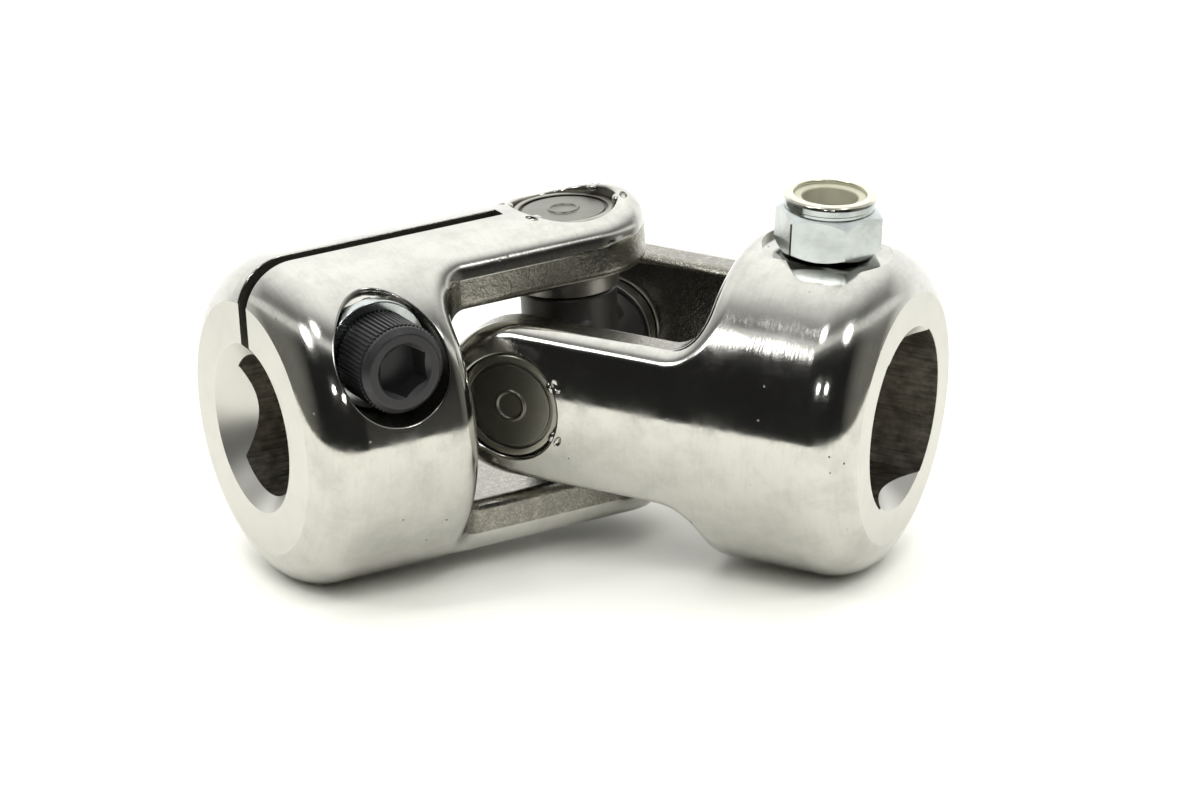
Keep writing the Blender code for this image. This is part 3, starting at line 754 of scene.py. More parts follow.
class Yoke:
    """One yoke's solid, cut step by step in its own frame."""

    # Each pair of punch marks: angle from the hub's side of the hole, and size
    punches = ((-33, 1.05), (24, 0.95), (151, 1.0), (204, 1.1))

    def __init__(self, name, sizes):
        self.name, self.size = name, sizes
        s = sizes
        ring = s.hub_radius - s.end_round
        angle = math.acos((s.face_radius - ring) / s.end_round)
        self.ring = Vector((ring, s.end_distance - s.end_round * math.sin(angle)))
        self.angle = math.degrees(angle)
        low = -s.ear_half_width - 2 * PAST
        edges = run((0, s.end_distance), (s.face_radius, s.end_distance), slot=FACE)
        edges += bend(self.ring, s.end_round, self.angle, 0, 18)
        edges += run((s.hub_radius, self.ring.y), (s.hub_radius, low), (0, low))
        self.body = spun(name, edges, 256)
        reach = s.hub_radius + 2 * PAST
        self.cut(prism("plan", self.ear_outline(), -reach, reach, ALONG_X, FORGED), "INTERSECT")
        self.cut(edge_cutter("ear_round", self.outer_spine(), s.ear_round))
        self.cut(prism("throat", self.throat_outline(), -reach, reach, ALONG_Y, FORGED))
        for side in (1, -1):
            self.cut(edge_cutter("inner", self.inner_spine(side), s.inner_round, False, FORGED))
            turn = axes_frame((0, 0, 0), (side, 0, 0), (0, 1, 0))
            self.hole(s.cup_hole, s.ear_inside - PAST, reach, turn)
            self.cut(edge_cutter(
                "cup_mouth", self.mouth_spine(turn, s.cup_hole, (0, 0)), s.mouth_round))
            self.stakes(turn)

    def cut(self, tool, operation="DIFFERENCE"):
        cut(self.body, tool, operation)

    def hole(self, radius, low, high, turn, slot=MILLED, steps=96):
        edges = run((0, high), (radius, high), (radius, low), (0, low), slot=slot)
        self.cut(spun("hole", edges, steps, turn))

    def ear_outline(self):
        """A yoke seen along its bearing axis, as (y, z)."""
        s = self.size
        reach, top = s.hub_radius + PAST, s.end_distance + PAST
        right = arc_points((0, 0), s.ear_half_width, -90, 0, 24)
        center = (s.ear_half_width + s.ear_fillet, s.shoulder - s.ear_fillet)
        right += arc_points(center, s.ear_fillet, 180, 90, 12)
        right += [(reach, s.shoulder), (reach, top)]
        return right + [(-y, z) for y, z in reversed(right[1:])]

    def throat_outline(self):
        """The gap between the ears, as (x, z)."""
        s = self.size
        below = -s.ear_half_width - PAST
        corner = (s.ear_inside - s.throat_fillet, s.shoulder - s.throat_fillet)
        right = [(s.ear_inside, below)] + arc_points(corner, s.throat_fillet, 0, 90, 12)
        return right + [(-x, z) for x, z in reversed(right)]

    def skin(self, height, inset):
        """Radius and normal (out, up) of the hub's skin at a height, moved inwards."""
        rise = height - self.ring.y
        if rise <= 0:
            return self.size.hub_radius - inset, Vector((1, 0))
        turn = self.size.end_round - inset
        out = math.sqrt(max(turn * turn - rise * rise, 0))
        return self.ring.x + out, Vector((out, rise)) / turn

    def on_skin(self, across, height, inset, lies_along="x", side=1):
        """Ball's centre under the skin and the skin's normal there."""
        radius, normal = self.skin(height, inset)
        other = side * math.sqrt(radius * radius - across * across)
        x, y = (other, across) if lies_along == "x" else (across, other)
        out = normal.x / radius
        return Vector((x, y, height)), Vector((out * x, out * y, normal.y))

    def outer_spine(self):
        """Round the outer edges of both ears and along the hub's shoulder."""
        s = self.size
        inset = s.ear_round
        reach = s.hub_radius - inset
        half = []
        foot = s.ear_half_width + s.ear_fillet
        lowest = math.degrees(math.asin(foot / reach))
        for i in range(24):
            turn = math.radians(90 + (lowest - 90) * i / 24)
            y = reach * math.sin(turn)
            center = Vector((reach * math.cos(turn), y, s.shoulder + inset))
            half.append((center, Vector((math.cos(turn), math.sin(turn), 0)), Vector((0, 0, -1))))
        for i in range(12):
            turn = math.radians(90 + 90 * i / 12)
            wall = Vector((0, -math.cos(turn), -math.sin(turn)))
            y = foot + (s.ear_fillet + inset) * math.cos(turn)
            z = s.shoulder - s.ear_fillet + (s.ear_fillet + inset) * math.sin(turn)
            half.append((*self.on_skin(y, z, inset), wall))
        top = s.shoulder - s.ear_fillet
        for i in range(8):
            z = top * (1 - i / 8)
            half.append((*self.on_skin(s.ear_half_width - inset, z, inset), Vector((0, 1, 0))))
        for i in range(25):
            turn = -math.pi / 2 * i / 24
            wall = Vector((0, math.cos(turn), math.sin(turn)))
            y, z = ((s.ear_half_width - inset) * w for w in wall.yz)
            half.append((*self.on_skin(y, z, inset), wall))
        flip_y, flip_x = Vector((1, -1, 1)), Vector((-1, 1, 1))
        full = half + [tuple(v * flip_y for v in row) for row in reversed(half[:-1])]
        return full + [tuple(v * flip_x for v in row) for row in reversed(full[1:-1])]

    def inner_spine(self, side):
        """Along an ear's inner edges and round its tip."""
        s = self.size
        ball = s.inner_round
        foot = Vector((s.ear_half_width + s.ear_fillet, s.shoulder - s.ear_fillet))
        root = Vector((s.ear_inside - s.throat_fillet, s.shoulder - s.throat_fillet))
        half = []

        def add(y, z, wall):
            share = max(0.0, min(1.0, (z - root.y) / (s.throat_fillet + ball)))
            turn = math.asin(share)
            x = root.x + (s.throat_fillet + ball) * math.cos(turn)
            inside = Vector((-math.cos(turn), 0, -math.sin(turn)))
            half.append((Vector((x, y, z)), inside, wall))

        for i in range(14):
            turn = math.radians(104 + 76 * i / 14)
            reach = s.ear_fillet + ball
            add(foot.x + reach * math.cos(turn), foot.y + reach * math.sin(turn),
                Vector((0, -math.cos(turn), -math.sin(turn))))
        for i in range(8):
            add(s.ear_half_width - ball, foot.y * (1 - i / 8), Vector((0, 1, 0)))
        for i in range(25):
            turn = -math.pi / 2 * i / 24
            wall = Vector((0, math.cos(turn), math.sin(turn)))
            add((s.ear_half_width - ball) * wall.y, (s.ear_half_width - ball) * wall.z, wall)
        full = half + [tuple(v * Vector((1, -1, 1)) for v in row) for row in reversed(half[:-1])]
        return [tuple(v * Vector((side, 1, 1)) for v in row) for row in full]

    def mouth_spine(self, turn, radius, center):
        """Round the mouth of a hole whose axis is the turn's Z, out through the skin."""
        s = self.size
        inset = s.mouth_round
        out = turn.to_3x3().col[2]
        along_x = abs(out.x) > 0.5
        side = 1 if (out.x if along_x else out.y) > 0 else -1
        spine = []
        for i in range(96):
            angle = math.tau * i / 96
            wall = Vector((math.cos(angle), math.sin(angle)))
            across, height = (Vector(center) + (radius + inset) * wall)
            point, normal = self.on_skin(across, height, inset, "x" if along_x else "y", side)
            inward = Vector((0, -wall.x, -wall.y)) if along_x else Vector((-wall.x, 0, -wall.y))
            spine.append((point, normal, inward))
        return spine

    def stakes(self, turn):
        """Punch marks beside a cup's hole, and the metal that they push over the cup's edge."""
        s = self.size
        side = 1 if turn.to_3x3().col[2].x > 0 else -1
        lumps, dents = [], []
        for angle, size in self.punches:
            wall = Vector((math.sin(math.radians(angle)), math.cos(math.radians(angle))))
            for found, reach, inset, scale in (
                (lumps, s.cup_hole - 0.05, 0.50, (0.55, 0.85, 0.55)),
                (dents, s.cup_hole + 0.95, -0.30, (0.55, 1.05, 0.75)),
            ):
                point, _ = self.on_skin(reach * wall.x, reach * wall.y, inset, "x", side)
                spin = Matrix.Rotation(-math.radians(angle), 4, "X")
                scaled = Matrix.Diagonal((*(size * scale[i] for i in (2, 1, 0)), 1.0))
                found.append(Matrix.Translation(point) @ spin @ scaled)
        for name, places, operation in (("dents", dents, "DIFFERENCE"), ("lumps", lumps, "UNION")):
            shape = bmesh.new()
            for place in places:
                bmesh.ops.create_icosphere(shape, subdivisions=3, radius=1.0, matrix=place)
            self.cut(solid(name, shape, slot=SKIN), operation)

    def bore(self, radius, flats, chamfer_radius):
        """Double-D bore with flats parallel to X, and its chamfer."""
        s = self.size
        half = math.degrees(math.asin(flats / 2 / radius))
        right = arc_points((0, 0), radius, -half, half, 32)
        outline = right + [(-x, -y) for x, y in right]
        low, high = s.shoulder - s.throat_fillet, s.end_distance + PAST
        self.cut(prism("bore", outline, low, high, slot=BORE))
        point = flats / 2 - 0.1  # just inside the flats, so that the cone meets them
        floor = s.end_distance - (chamfer_radius - point)
        edges = run((0, high), (chamfer_radius + PAST, high), (point, floor), slot=FACE)
        edges += run((point, floor), (0, floor), slot=BORE)
        self.cut(spun("chamfer", edges, 128))


def yoke_materials(name, place, seed):
    paint = bpy.context.scene.joint_finishes
    forged = tuple(paint.forged_steel)
    return [
        polished_steel(name + "_polished", tuple(paint.steel), place, seed),
        face_steel(name + "_face", tuple(paint.face_steel), place),
        forged_steel(name + "_forged", forged, place),
        broached_steel(name + "_bore", tuple(paint.bore_steel), place),
        milled_steel(name + "_milled", forged, place),
    ]


def yoke_sizes(context):
    """The yokes' lengths, which the fasteners are placed by too."""
    return millimetres(context.scene.joint_yokes)


class JOINT_OT_clamp_yoke(bpy.types.Operator):
    """Clamp yoke with its saw slit and the recess for the pinch screw"""

    bl_idname = "joint.clamp_yoke"
    bl_label = "Clamp yoke"

    def execute(self, context):
        s = yoke_sizes(context)
        yoke = Yoke("clamp_yoke_body", s)
        yoke.bore(s.clamp_bore, s.clamp_flats, s.clamp_chamfer)
        reach = s.hub_radius + 2 * PAST
        near, far = -s.slit_shift - s.slit_width / 2, -s.slit_shift + s.slit_width / 2
        past = s.end_distance + PAST
        outline = [(near, s.slit_end), (far, s.slit_end), (far, past), (near, past)]
        yoke.cut(prism("slit", outline, s.clamp_bore - PAST, reach, ALONG_X, MILLED))
        for wall, direction in ((near, 1), (far, -1)):
            spine = []
            y = wall - direction * s.slit_round
            heights = [s.slit_end + (yoke.ring.y - s.slit_end) * i / 4 for i in range(5)]
            turns = [math.radians(yoke.angle) * i / 12 for i in range(1, 13)]
            round_off = s.end_round - s.slit_round
            heights += [yoke.ring.y + round_off * math.sin(turn) for turn in turns]
            for height in heights:
                point, normal = yoke.on_skin(y, height, s.slit_round)
                spine.append((point, normal, Vector((0, direction, 0))))
            yoke.cut(edge_cutter("slit_edge", spine, s.slit_round, False, SKIN, 6))
        turn = axes_frame((s.pinch_offset, 0, s.pinch_distance), (0, -1, 0), (1, 0, 0))
        yoke.hole(s.screw_hole, -reach, reach, turn, steps=64)
        yoke.hole(s.recess_radius, s.recess_seat, reach, turn, steps=128)
        spine = yoke.mouth_spine(turn, s.recess_radius, (s.pinch_offset, s.pinch_distance))
        yoke.cut(edge_cutter("recess_mouth", spine, s.mouth_round))
        finished(
            yoke.body, CLAMP, "clamp_yoke", ["clamp_yoke"], "clamp_yoke_steel",
            *yoke_materials("clamp_yoke", CLAMP, 0.0),
        )
        return {"FINISHED"}


class JOINT_OT_set_screw_yoke(bpy.types.Operator):
    """Set screw yoke with the spot face for the locknut"""

    bl_idname = "joint.set_screw_yoke"
    bl_label = "Set screw yoke"

    def execute(self, context):
        s = yoke_sizes(context)
        yoke = Yoke("set_screw_yoke_body", s)
        yoke.bore(s.set_bore, s.set_flats, s.set_chamfer)
        turn = axes_frame((0, 0, s.set_distance), (0, -1, 0), (1, 0, 0))
        reach = s.hub_radius + 2 * PAST
        yoke.hole(s.screw_hole, 0, reach, turn, steps=64)
        yoke.hole(s.nut_seat_radius, s.nut_seat, reach, turn, SKIN, 128)
        finished(
            yoke.body, SET, "set_screw_yoke", ["set_screw_yoke"], "set_yoke_steel",
            *yoke_materials("set_screw_yoke", SET, 0.013),
        )
        return {"FINISHED"}


# Bearings and cross

class JOINT_OT_bearings(bpy.types.Operator):
    """Bearing cups, seals and their metal rings, and a finish for the needles"""

    bl_idname = "joint.bearings"
    bl_label = "Bearings"

    def execute(self, context):
        s = millimetres(context.scene.joint_bearings)
        paint = context.scene.joint_finishes
        needles = None
        for side, arm in ARMS.items():
            body = "clamp_yoke" if side in ("top", "bottom") else "set_screw_yoke"
            self.cup(s, side, arm, body, tuple(paint.cup_steel))
            self.seal(s, side, arm, tuple(paint.rubber), tuple(paint.retainer))
            needles = needles or needle_steel("needle_steel", arm)
            node = frame["nodes"]["needle_set_" + side]
            node.data.materials.clear()
            node.data.materials.append(needles)
        return {"FINISHED"}

    def cup(self, s, side, arm, body, base):
        top, low = s.cup_face, s.cup_face - s.cup_length
        inner, floor = s.cup_radius - s.cup_wall, top - s.cup_floor
        dish, groove, rim, corner = 0.16, 0.42, 0.9, 0.55
        inside, crest, outside, bead = 1.55, 1.93, 2.31, 0.22  # the small raised ring
        edge, soft, plate = s.cup_radius - rim, 0.12, top - dish
        edges = run((0, plate), (inside, plate))
        edges += bend((inside, plate + bead), bead, -90, -30, 4)
        edges += bend((crest, plate), bead, 150, 30, 8)
        edges += bend((outside, plate + bead), bead, -150, -90, 4)
        edges += run((outside, plate), (edge - 0.75, plate))
        edges += bend((edge - 0.75, plate - soft), soft, 90, 0, 4)
        edges += run((edge - 0.63, plate - soft), (edge - 0.63, top - groove),
                     (edge - 0.25, top - groove), (edge - 0.25, top - soft))
        edges += bend((edge - 0.13, top - soft), soft, 180, 90, 4)
        edges += run((edge - 0.13, top), (s.cup_radius - corner, top))
        edges += bend((s.cup_radius - corner, top - corner), corner, 90, 0, 8)
        edges += run((s.cup_radius, top - corner), (s.cup_radius, low + 0.2),
                     (s.cup_radius - 0.2, low), (inner + 0.2, low), (inner, low + 0.2),
                     (inner, floor), (0, floor))
        name = "bearing_cup_" + side
        finished(
            spun(name + "_turned", edges, 128), arm, body, [name], "cup_steel",
            cup_steel(name + "_steel", base, arm),
        )

    def seal(self, s, side, arm, rubber, metal):
        low = s.boss_length + s.gap
        high = low + s.seal_thickness
        inner, lip = s.trunnion_radius + 0.05, 0.35
        outer = s.retainer_radius - s.retainer_wall - 0.05
        edges = outer_side(outer, low, high, lip, 6)
        edges += run((outer - lip, low), (inner + lip, low))
        edges += bend((inner + lip, low + lip), lip, 270, 180, 6)
        edges += run((inner, low + lip), (inner, high - lip))
        edges += bend((inner + lip, high - lip), lip, 180, 90, 6)
        edges += run((inner + lip, high), (outer - lip, high))
        name = "seal_" + side
        finished(
            spun(name + "_ring", edges, 96), arm, "cross", [name], "seal_rubber",
            soft_polymer(name + "_rubber", rubber, arm, 0.55, 0.01),
        )
        outer, wall, small = s.retainer_radius, s.retainer_wall, 0.12
        edges = outer_side(outer, low, high, small, 4)
        edges += run((outer - small, low), (outer - wall, low), (outer - wall, high),
                     (outer - small, high))
        name = "seal_retainer_" + side
        finish = black_coating(name + "_steel", metal, arm, 1.0, 0.3)
        ring = spun(name + "_ring", edges, 96)
        finished(ring, arm, "cross", [name], "retainer_steel", finish)


class JOINT_OT_cross(bpy.types.Operator):
    """The cross: a round body with four bosses and trunnions"""

    bl_idname = "joint.cross"
    bl_label = "Cross"

    def execute(self, context):
        s = millimetres(context.scene.joint_bearings)
        paint = context.scene.joint_finishes
        up, side = CLAMP.to_3x3().col[0], SET.to_3x3().col[0]
        place = axes_frame(CLAMP.translation, up.cross(side), up)
        half, soft = s.body_half_height, 1.6
        edges = run((0, half), (s.body_radius - soft, half))
        edges += outer_side(s.body_radius, -half, half, soft, 10)
        edges += run((s.body_radius - soft, -half), (0, -half))
        cross = spun("cross_body", edges, 128)
        end = s.cup_face - s.cup_floor - s.gap
        for turn in (
            axes_frame((0, 0, 0), (1, 0, 0), (0, math.cos(0.03), math.sin(0.03))),
            axes_frame((0, 0, 0), (0, 1, 0), (math.cos(0.08), 0, math.sin(0.08))),
        ):
            small, lead = 0.5, 0.6
            edges = run((0, end), (s.trunnion_radius - lead, end), (s.trunnion_radius, end - lead),
                        (s.trunnion_radius, s.boss_length), (s.boss_radius - small, s.boss_length))
            edges += outer_side(s.boss_radius, -s.boss_length, s.boss_length, small, 6)
            edges += run(
                (s.boss_radius - small, -s.boss_length), (s.trunnion_radius, -s.boss_length),
                (s.trunnion_radius, lead - end), (s.trunnion_radius - lead, -end), (0, -end))
            cut(cross, spun("cross_arm", edges, 96, turn), "UNION")
        finish = black_coating("cross_phosphate", tuple(paint.phosphate), place, 0.7, 0.36)
        finished(cross, place, "cross", ["cross"], "cross_steel", finish)
        return {"FINISHED"}


# Fasteners

def hexagon(flats, turn=0):
    return arc_points((0, 0), flats / 2 / math.cos(math.pi / 6), turn, turn + 360, 6)[:-1]


def thread_edges(radius, pitch, high, low):
    """Profile edges of a thread between two heights, from the top down."""
    depth = 0.6 * pitch
    count = int((high - low) / pitch)
    edges = run((radius - depth, high), (radius - depth, low + count * pitch)) if (
        high - low - count * pitch > TINY) else []
    for i in range(count):
        top = low + (count - i) * pitch
        points = ((radius - depth, top), (radius, top - 0.42 * pitch), (radius, top - 0.56 * pitch),
                  (radius - depth, top - pitch))
        edges += run(*points)
    return edges


class JOINT_OT_pinch_screw(bpy.types.Operator):
    """Socket head cap screw with a knurled head, and its lock washer"""

    bl_idname = "joint.pinch_screw"
    bl_label = "Pinch screw"

    teeth = 62
    knurl_depth = 0.26

    def execute(self, context):
        s = millimetres(context.scene.joint_fasteners)
        y = yoke_sizes(context)
        paint = context.scene.joint_finishes
        seat = y.recess_seat + GAP + s.washer_thickness
        top, tip = seat + s.head_height, seat - s.screw_length
        band = 1.3  # plain band above the knurl
        plain, runout, point = 9.0, 0.4, 0.6  # shank, end of the thread, and the tip's chamfer
        crown, crown_round = s.head_radius - 1.15, 0.45
        side, side_round, side_top = s.head_radius - 0.212, 0.3, top - 0.876
        core = s.head_radius - self.knurl_depth
        thread_top = seat - plain - runout
        edges = run((0, top), (crown, top))
        edges += bend((crown, top - crown_round), crown_round, 90, 45, 5)
        edges += run((s.head_radius - 0.832, top - 0.132), (s.head_radius - 0.3, top - 0.664))
        edges += bend((side - side_round, side_top), side_round, 45, 0, 5)
        edges += run((side, side_top), (side, top - band),
                     (core, top - band - 0.08), (core, seat), (s.thread_radius, seat),
                     (s.thread_radius, seat - plain), (s.thread_radius - ROOT, thread_top))
        edges += thread_edges(s.thread_radius, s.thread_pitch, thread_top, tip + point)
        edges += run((s.thread_radius - ROOT, tip + point), (s.thread_radius - 1.0, tip), (0, tip))
        screw = spun("pinch_screw_body", edges, 124)
        outline = []
        for i in range(self.teeth):
            for share, reach in (
                (-0.5, core - 0.06), (-0.16, s.head_radius), (0.16, s.head_radius),
            ):
                turn = math.tau * (i + share) / self.teeth
                outline.append((reach * math.cos(turn), reach * math.sin(turn)))
        cut(screw, prism("knurl", outline, seat + 0.25, top - band - 0.03), "UNION")
        low, high = top - s.socket_depth, top + PAST
        cut(screw, prism("socket", hexagon(s.screw_hex), low, high))
        lead = s.screw_hex / 2 / math.cos(math.pi / 6) + 0.15  # just past the socket's corners
        point = s.screw_hex / 2 - 0.1
        cone = run((0, high), (lead + PAST, high), (point, top - lead + point),
                   (0, top - lead + point))
        cut(screw, spun("socket_lead", cone, 96))
        finish = black_coating("pinch_screw_oxide", tuple(paint.black_oxide), PINCH, 0.75, 0.34)
        finished(screw, self.placed(y), "pinch_screw", ["pinch_screw"], "black_oxide", finish)
        self.washer(s, y, paint)
        return {"FINISHED"}

    def placed(self, y):
        """The screw's frame with its origin on the hub's middle plane, as the CAD has it."""
        return CLAMP @ axes_frame(
            (y.pinch_offset * MM, 0, y.pinch_distance * MM), (0, -1, 0), (1, 0, 0))

    def washer(self, s, y, paint):
        low = y.recess_seat + 0.15
        high, soft, inner = low + s.washer_thickness, 0.3, y.screw_hole
        outer = s.washer_radius
        edges = outer_side(outer, low, high, soft, 6)
        edges += run((outer - soft, low), (inner, low), (inner, high), (outer - soft, high))
        washer = spun("lock_washer_ring", edges, 128)
        half = s.washer_split / 2
        past, lean = -outer - PAST, 0.25
        gap = [(past, -half - lean), (0, -half + lean), (0, half + lean), (past, half - lean)]
        cut(washer, prism("split", gap, low - PAST, high + PAST))
        finish = zinc_plate(
            "lock_washer_zinc", tuple(paint.zinc), tuple(paint.zinc_tint), self.placed(y), 90.0)
        finished(washer, self.placed(y), "lock_washer", ["lock_washer"], "zinc_plate", finish)


class JOINT_OT_set_screw(bpy.types.Operator):
    """Set screw, locknut and the nylon ring in its collar"""

    bl_idname = "joint.set_screw"
    bl_label = "Set screw and locknut"

    def execute(self, context):
        s = millimetres(context.scene.joint_fasteners)
        y = yoke_sizes(context)
        paint = context.scene.joint_finishes
        place = SET @ axes_frame((0, 0, y.set_distance * MM), (0, -1, 0), (1, 0, 0))
        low = y.set_flats / 2 + GAP
        high = low + s.set_length
        edges = run(
            (0, high), (s.thread_radius - 0.75, high), (s.thread_radius - ROOT, high - 0.12))
        edges += thread_edges(s.thread_radius, s.thread_pitch, high - 0.12, low + 0.6)
        edges += run((s.thread_radius - ROOT, low + 0.6), (s.thread_radius - 1.2, low), (0, low))
        screw = spun("set_screw_body", edges, 96)
        cut(screw, prism("socket", hexagon(s.set_hex), high - s.socket_depth, high + PAST))
        finish = black_coating("set_screw_oxide", tuple(paint.black_oxide), place, 0.75, 0.36)
        finished(screw, place, "set_screw", ["set_screw"], "black_oxide", finish)
        self.nut(s, y, paint, place)
        return {"FINISHED"}

    def nut(self, s, y, paint, place):
        low = y.nut_seat + GAP
        high = low + s.nut_height
        hex_top = high - s.collar_height
        corner = s.nut_flats / 2 / math.cos(math.pi / 6)
        bevel = 0.35  # how far the chamfer's cone reaches inside the flats
        drop = (corner - s.nut_flats / 2 + bevel) * math.tan(math.radians(36))
        flat = s.nut_flats / 2 - bevel
        soft, pocket = 0.7, high - s.lip_thickness - s.insert_height - GAP
        collar, neck = s.collar_radius, s.collar_radius - 0.28
        inner_soft = 0.28
        edges = bend((s.lip_radius + inner_soft, high - inner_soft), inner_soft, 180, 90, 6)
        edges += run((s.lip_radius + inner_soft, high), (collar - soft, high))
        edges += bend((collar - soft, high - soft), soft, 90, 0, 10)
        edges += run((collar, high - soft), (collar, hex_top + 0.62), (neck, hex_top + 0.4),
                     (neck, hex_top), (flat, hex_top), (corner + 0.1, hex_top - drop),
                     (corner + 0.1, low + drop), (flat, low), (y.screw_hole, low),
                     (y.screw_hole, pocket), (s.insert_radius + 0.05, pocket),
                     (s.insert_radius + 0.05, high - s.lip_thickness),
                     (s.lip_radius, high - s.lip_thickness), (s.lip_radius, high - inner_soft))
        nut = spun("locknut_body", edges, 128)
        turn = s.nut_turn
        outline = []
        reach = corner - 0.12
        for i in range(6):
            for lean in (-1.3, 0.0, 1.3):
                angle = math.radians(turn + 60 * i + lean)
                outline.append((reach * math.cos(angle), reach * math.sin(angle)))
        cut(nut, prism("hexagon", outline, low - PAST, high + PAST), "INTERSECT")
        finish = zinc_plate(
            "locknut_zinc", tuple(paint.zinc), tuple(paint.zinc_tint), place, high - 0.4)
        finished(nut, place, "locknut", ["locknut"], "zinc_plate", finish)
        top = high - s.lip_thickness - 0.05
        bottom, soft = top - s.insert_height, 0.3
        edges = bend((s.insert_bore + soft, top - soft), soft, 180, 90, 6)
        edges += run((s.insert_bore + soft, top), (s.insert_radius, top), (s.insert_radius, bottom),
                     (s.insert_bore + soft, bottom))
        edges += bend((s.insert_bore + soft, bottom + soft), soft, 270, 180, 6)
        edges += run((s.insert_bore, bottom + soft), (s.insert_bore, top - soft))
        nylon = soft_polymer("insert_nylon", tuple(paint.nylon), place, 0.42, 0.008)
        ring = spun("nylon_insert_ring", edges, 96)
        finished(ring, place, "locknut", ["nylon_insert"], "nylon", nylon)


# Studio

def flat_disc(name, inner, outer, material):
    """A level ring or disc on the ground, as part of the studio."""
    shape = bmesh.new()
    bmesh.ops.create_circle(shape, cap_ends=not inner, segments=96, radius=outer)
    if inner:
        bmesh.ops.create_circle(shape, cap_ends=False, segments=96, radius=inner)
        bmesh.ops.bridge_loops(shape, edges=shape.edges[:])
    mesh = bpy.data.meshes.new(name)
    shape.to_mesh(mesh)
    shape.free()
    mesh.materials.append(material)
    built = bpy.data.objects.new(name, mesh)
    bpy.context.scene.collection.objects.link(built)
    return built


def softbox(name, place, target, size, power, round_light=False):
    """A soft light at this place that faces the target, for the floor and dull surfaces."""
    light = bpy.data.lights.new(name, "AREA")
    light.shape = "DISK" if round_light else "RECTANGLE"
    light.size, light.size_y = size
    light.energy = power
    built = bpy.data.objects.new(name, light)
    away = Vector(place) - Vector(target)
    turn = away.to_track_quat("Z", "Y").to_matrix().to_4x4()
    built.matrix_world = Matrix.Translation(place) @ turn
    built.visible_camera = built.visible_glossy = False
    bpy.context.scene.collection.objects.link(built)
    return built


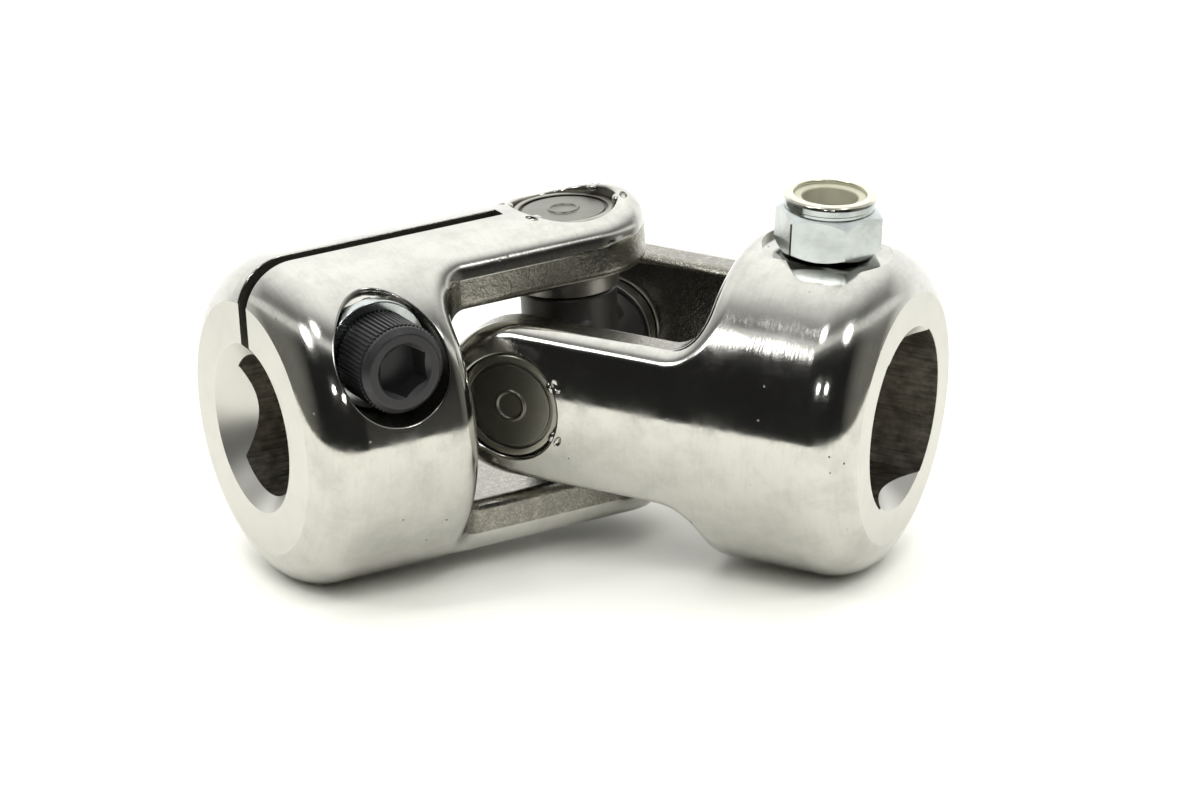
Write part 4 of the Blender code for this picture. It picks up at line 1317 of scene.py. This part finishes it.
class JOINT_OT_studio(bpy.types.Operator):
    """Pale floor, soft lights and the camera"""

    bl_idname = "joint.studio"
    bl_label = "Studio"

    tilt = 19.07  # degrees that the camera looks down
    focal_length = 180.0
    stand_off = Vector((3.6848, -764.4982, 257.866)) * MM  # camera from the joint's centre

    near_floor, far_floor = 0.17, 6.0  # radii in metres; only the near one shows in gloss
    brightness = 1.9  # of the room
    lamp_distance = 1.6  # metres from the joint's centre
    lamps = (  # turn from the camera and rise in degrees, size in metres, watts
        (-10.0, 28.5, 0.09, 0.8), (9.0, 26.0, 0.09, 0.8), (50.0, 52.0, 0.34, 2.8),
        (-57.0, 47.5, 0.34, 3.2), (-40.0, 66.0, 0.26, 2.0),
    )

    def room(self):
        """A room that is dark towards the camera and bright overhead and behind."""
        world = bpy.data.worlds.new("studio_room")
        world.use_nodes = True
        nodes = Nodes(world.node_tree)
        way = nodes.node("ShaderNodeTexCoord", output="Generated")
        x = nodes.node("ShaderNodeSeparateXYZ", output="X", Vector=way)
        y = nodes.node("ShaderNodeSeparateXYZ", output="Y", Vector=way)
        z = nodes.node("ShaderNodeSeparateXYZ", output="Z", Vector=way)
        lean = math.radians(40)
        above = y * math.sin(lean) + z * math.cos(lean)
        glow = nodes.ramp(
            above, (0.0, 0.012), (0.20, 0.022), (0.30, 0.12), (0.345, 0.55), (0.42, 0.52),
            (0.48, 0.13), (0.56, 0.14), (0.66, 0.34), (0.80, 0.70), (1.0, 1.0)) * self.brightness
        back = nodes.ramp(y, (0.30, 0.0), (0.70, 0.80)) * self.brightness
        glow = glow.math("MAXIMUM", glow, back)
        sides = nodes.ramp(x.math("ABSOLUTE", x), (0.72, 0.0), (0.98, 0.22))
        tint = nodes.node(
            "ShaderNodeCombineXYZ", X=glow + sides, Y=glow + sides * 0.98,
            Z=glow * 0.985 + sides * 0.88)
        room = world.node_tree.nodes["Background"]
        feed(world.node_tree, room.inputs["Color"], tint)
        return world

    def execute(self, context):
        scene = context.scene
        floor = Finish("studio_floor", tuple(scene.joint_finishes.floor), 0.75, 0.0)
        flat_disc("studio_floor_near", 0, self.near_floor, floor.material)
        far = flat_disc("studio_floor_far", self.near_floor, self.far_floor, floor.material)
        far.visible_glossy = False
        scene.world = self.room()
        center = CLAMP.translation
        softbox("overhead", (0.0, 0.15, 1.1), center, (1.5, 0.9), 3.5)
        softbox("backdrop", (0.0, 1.6, 0.45), center, (3.2, 1.1), 5.0)
        softbox("front_fill", (0.0, -1.1, 1.2), center, (1.6, 0.8), 19.0)
        softbox("left_wall", (-1.5, 0.3, 0.6), center, (1.0, 0.9), 1.6)
        softbox("right_wall", (1.5, 0.2, 0.6), center, (1.0, 0.9), 1.6)
        for number, (turn, rise, size, power) in enumerate(self.lamps):
            turn, rise = math.radians(turn), math.radians(rise)
            level = Vector((math.sin(turn), -math.cos(turn), 0)) * math.cos(rise)
            place = center + self.lamp_distance * (level + Vector((0, 0, math.sin(rise))))
            lamp = softbox(f"lamp_{number + 1}", place, center, (size, size), power, True)
            lamp.visible_glossy = True
        camera = bpy.data.objects.new("camera", bpy.data.cameras.new("camera"))
        camera.data.lens = self.focal_length
        camera.data.clip_start, camera.data.clip_end = 0.01, 50.0
        camera.location = center + self.stand_off
        camera.rotation_euler = (math.radians(90 - self.tilt), 0, 0)
        scene.collection.objects.link(camera)
        scene.camera = camera
        scene.view_settings.view_transform = "Standard"
        return {"FINISHED"}


# Panel and registration

class JOINT_PT_looks(bpy.types.Panel):
    """Sizes, finishes and steps of the universal joint"""

    bl_idname = "JOINT_PT_looks"
    bl_label = "Universal Joint"
    bl_space_type = "VIEW_3D"
    bl_region_type = "UI"
    bl_category = "Joint"

    def draw(self, context):
        for group in GROUPS:
            box = self.layout.box()
            box.label(text=group)
            for name in getattr(context.scene, group).__annotations__:
                box.prop(getattr(context.scene, group), name)
        for step in STEPS:
            self.layout.operator(step.bl_idname)


GROUPS = {
    "joint_yokes": YokeSizes,
    "joint_bearings": BearingSizes,
    "joint_fasteners": FastenerSizes,
    "joint_finishes": Finishes,
}
STEPS = (
    JOINT_OT_clamp_yoke, JOINT_OT_set_screw_yoke, JOINT_OT_bearings, JOINT_OT_cross,
    JOINT_OT_pinch_screw, JOINT_OT_set_screw, JOINT_OT_studio,
)


def register():
    for item in (*GROUPS.values(), *STEPS, JOINT_PT_looks):
        bpy.utils.register_class(item)
    for name, group in GROUPS.items():
        setattr(bpy.types.Scene, name, bpy.props.PointerProperty(type=group))


def unregister():
    for name in GROUPS:
        delattr(bpy.types.Scene, name)
    for item in reversed((*GROUPS.values(), *STEPS, JOINT_PT_looks)):
        bpy.utils.unregister_class(item)


def main():
    register()
    bpy.ops.joint.clamp_yoke()
    bpy.ops.joint.set_screw_yoke()
    bpy.ops.joint.bearings()
    bpy.ops.joint.cross()
    bpy.ops.joint.pinch_screw()
    bpy.ops.joint.set_screw()
    bpy.ops.joint.studio()


if __name__ == "__main__":
    main()
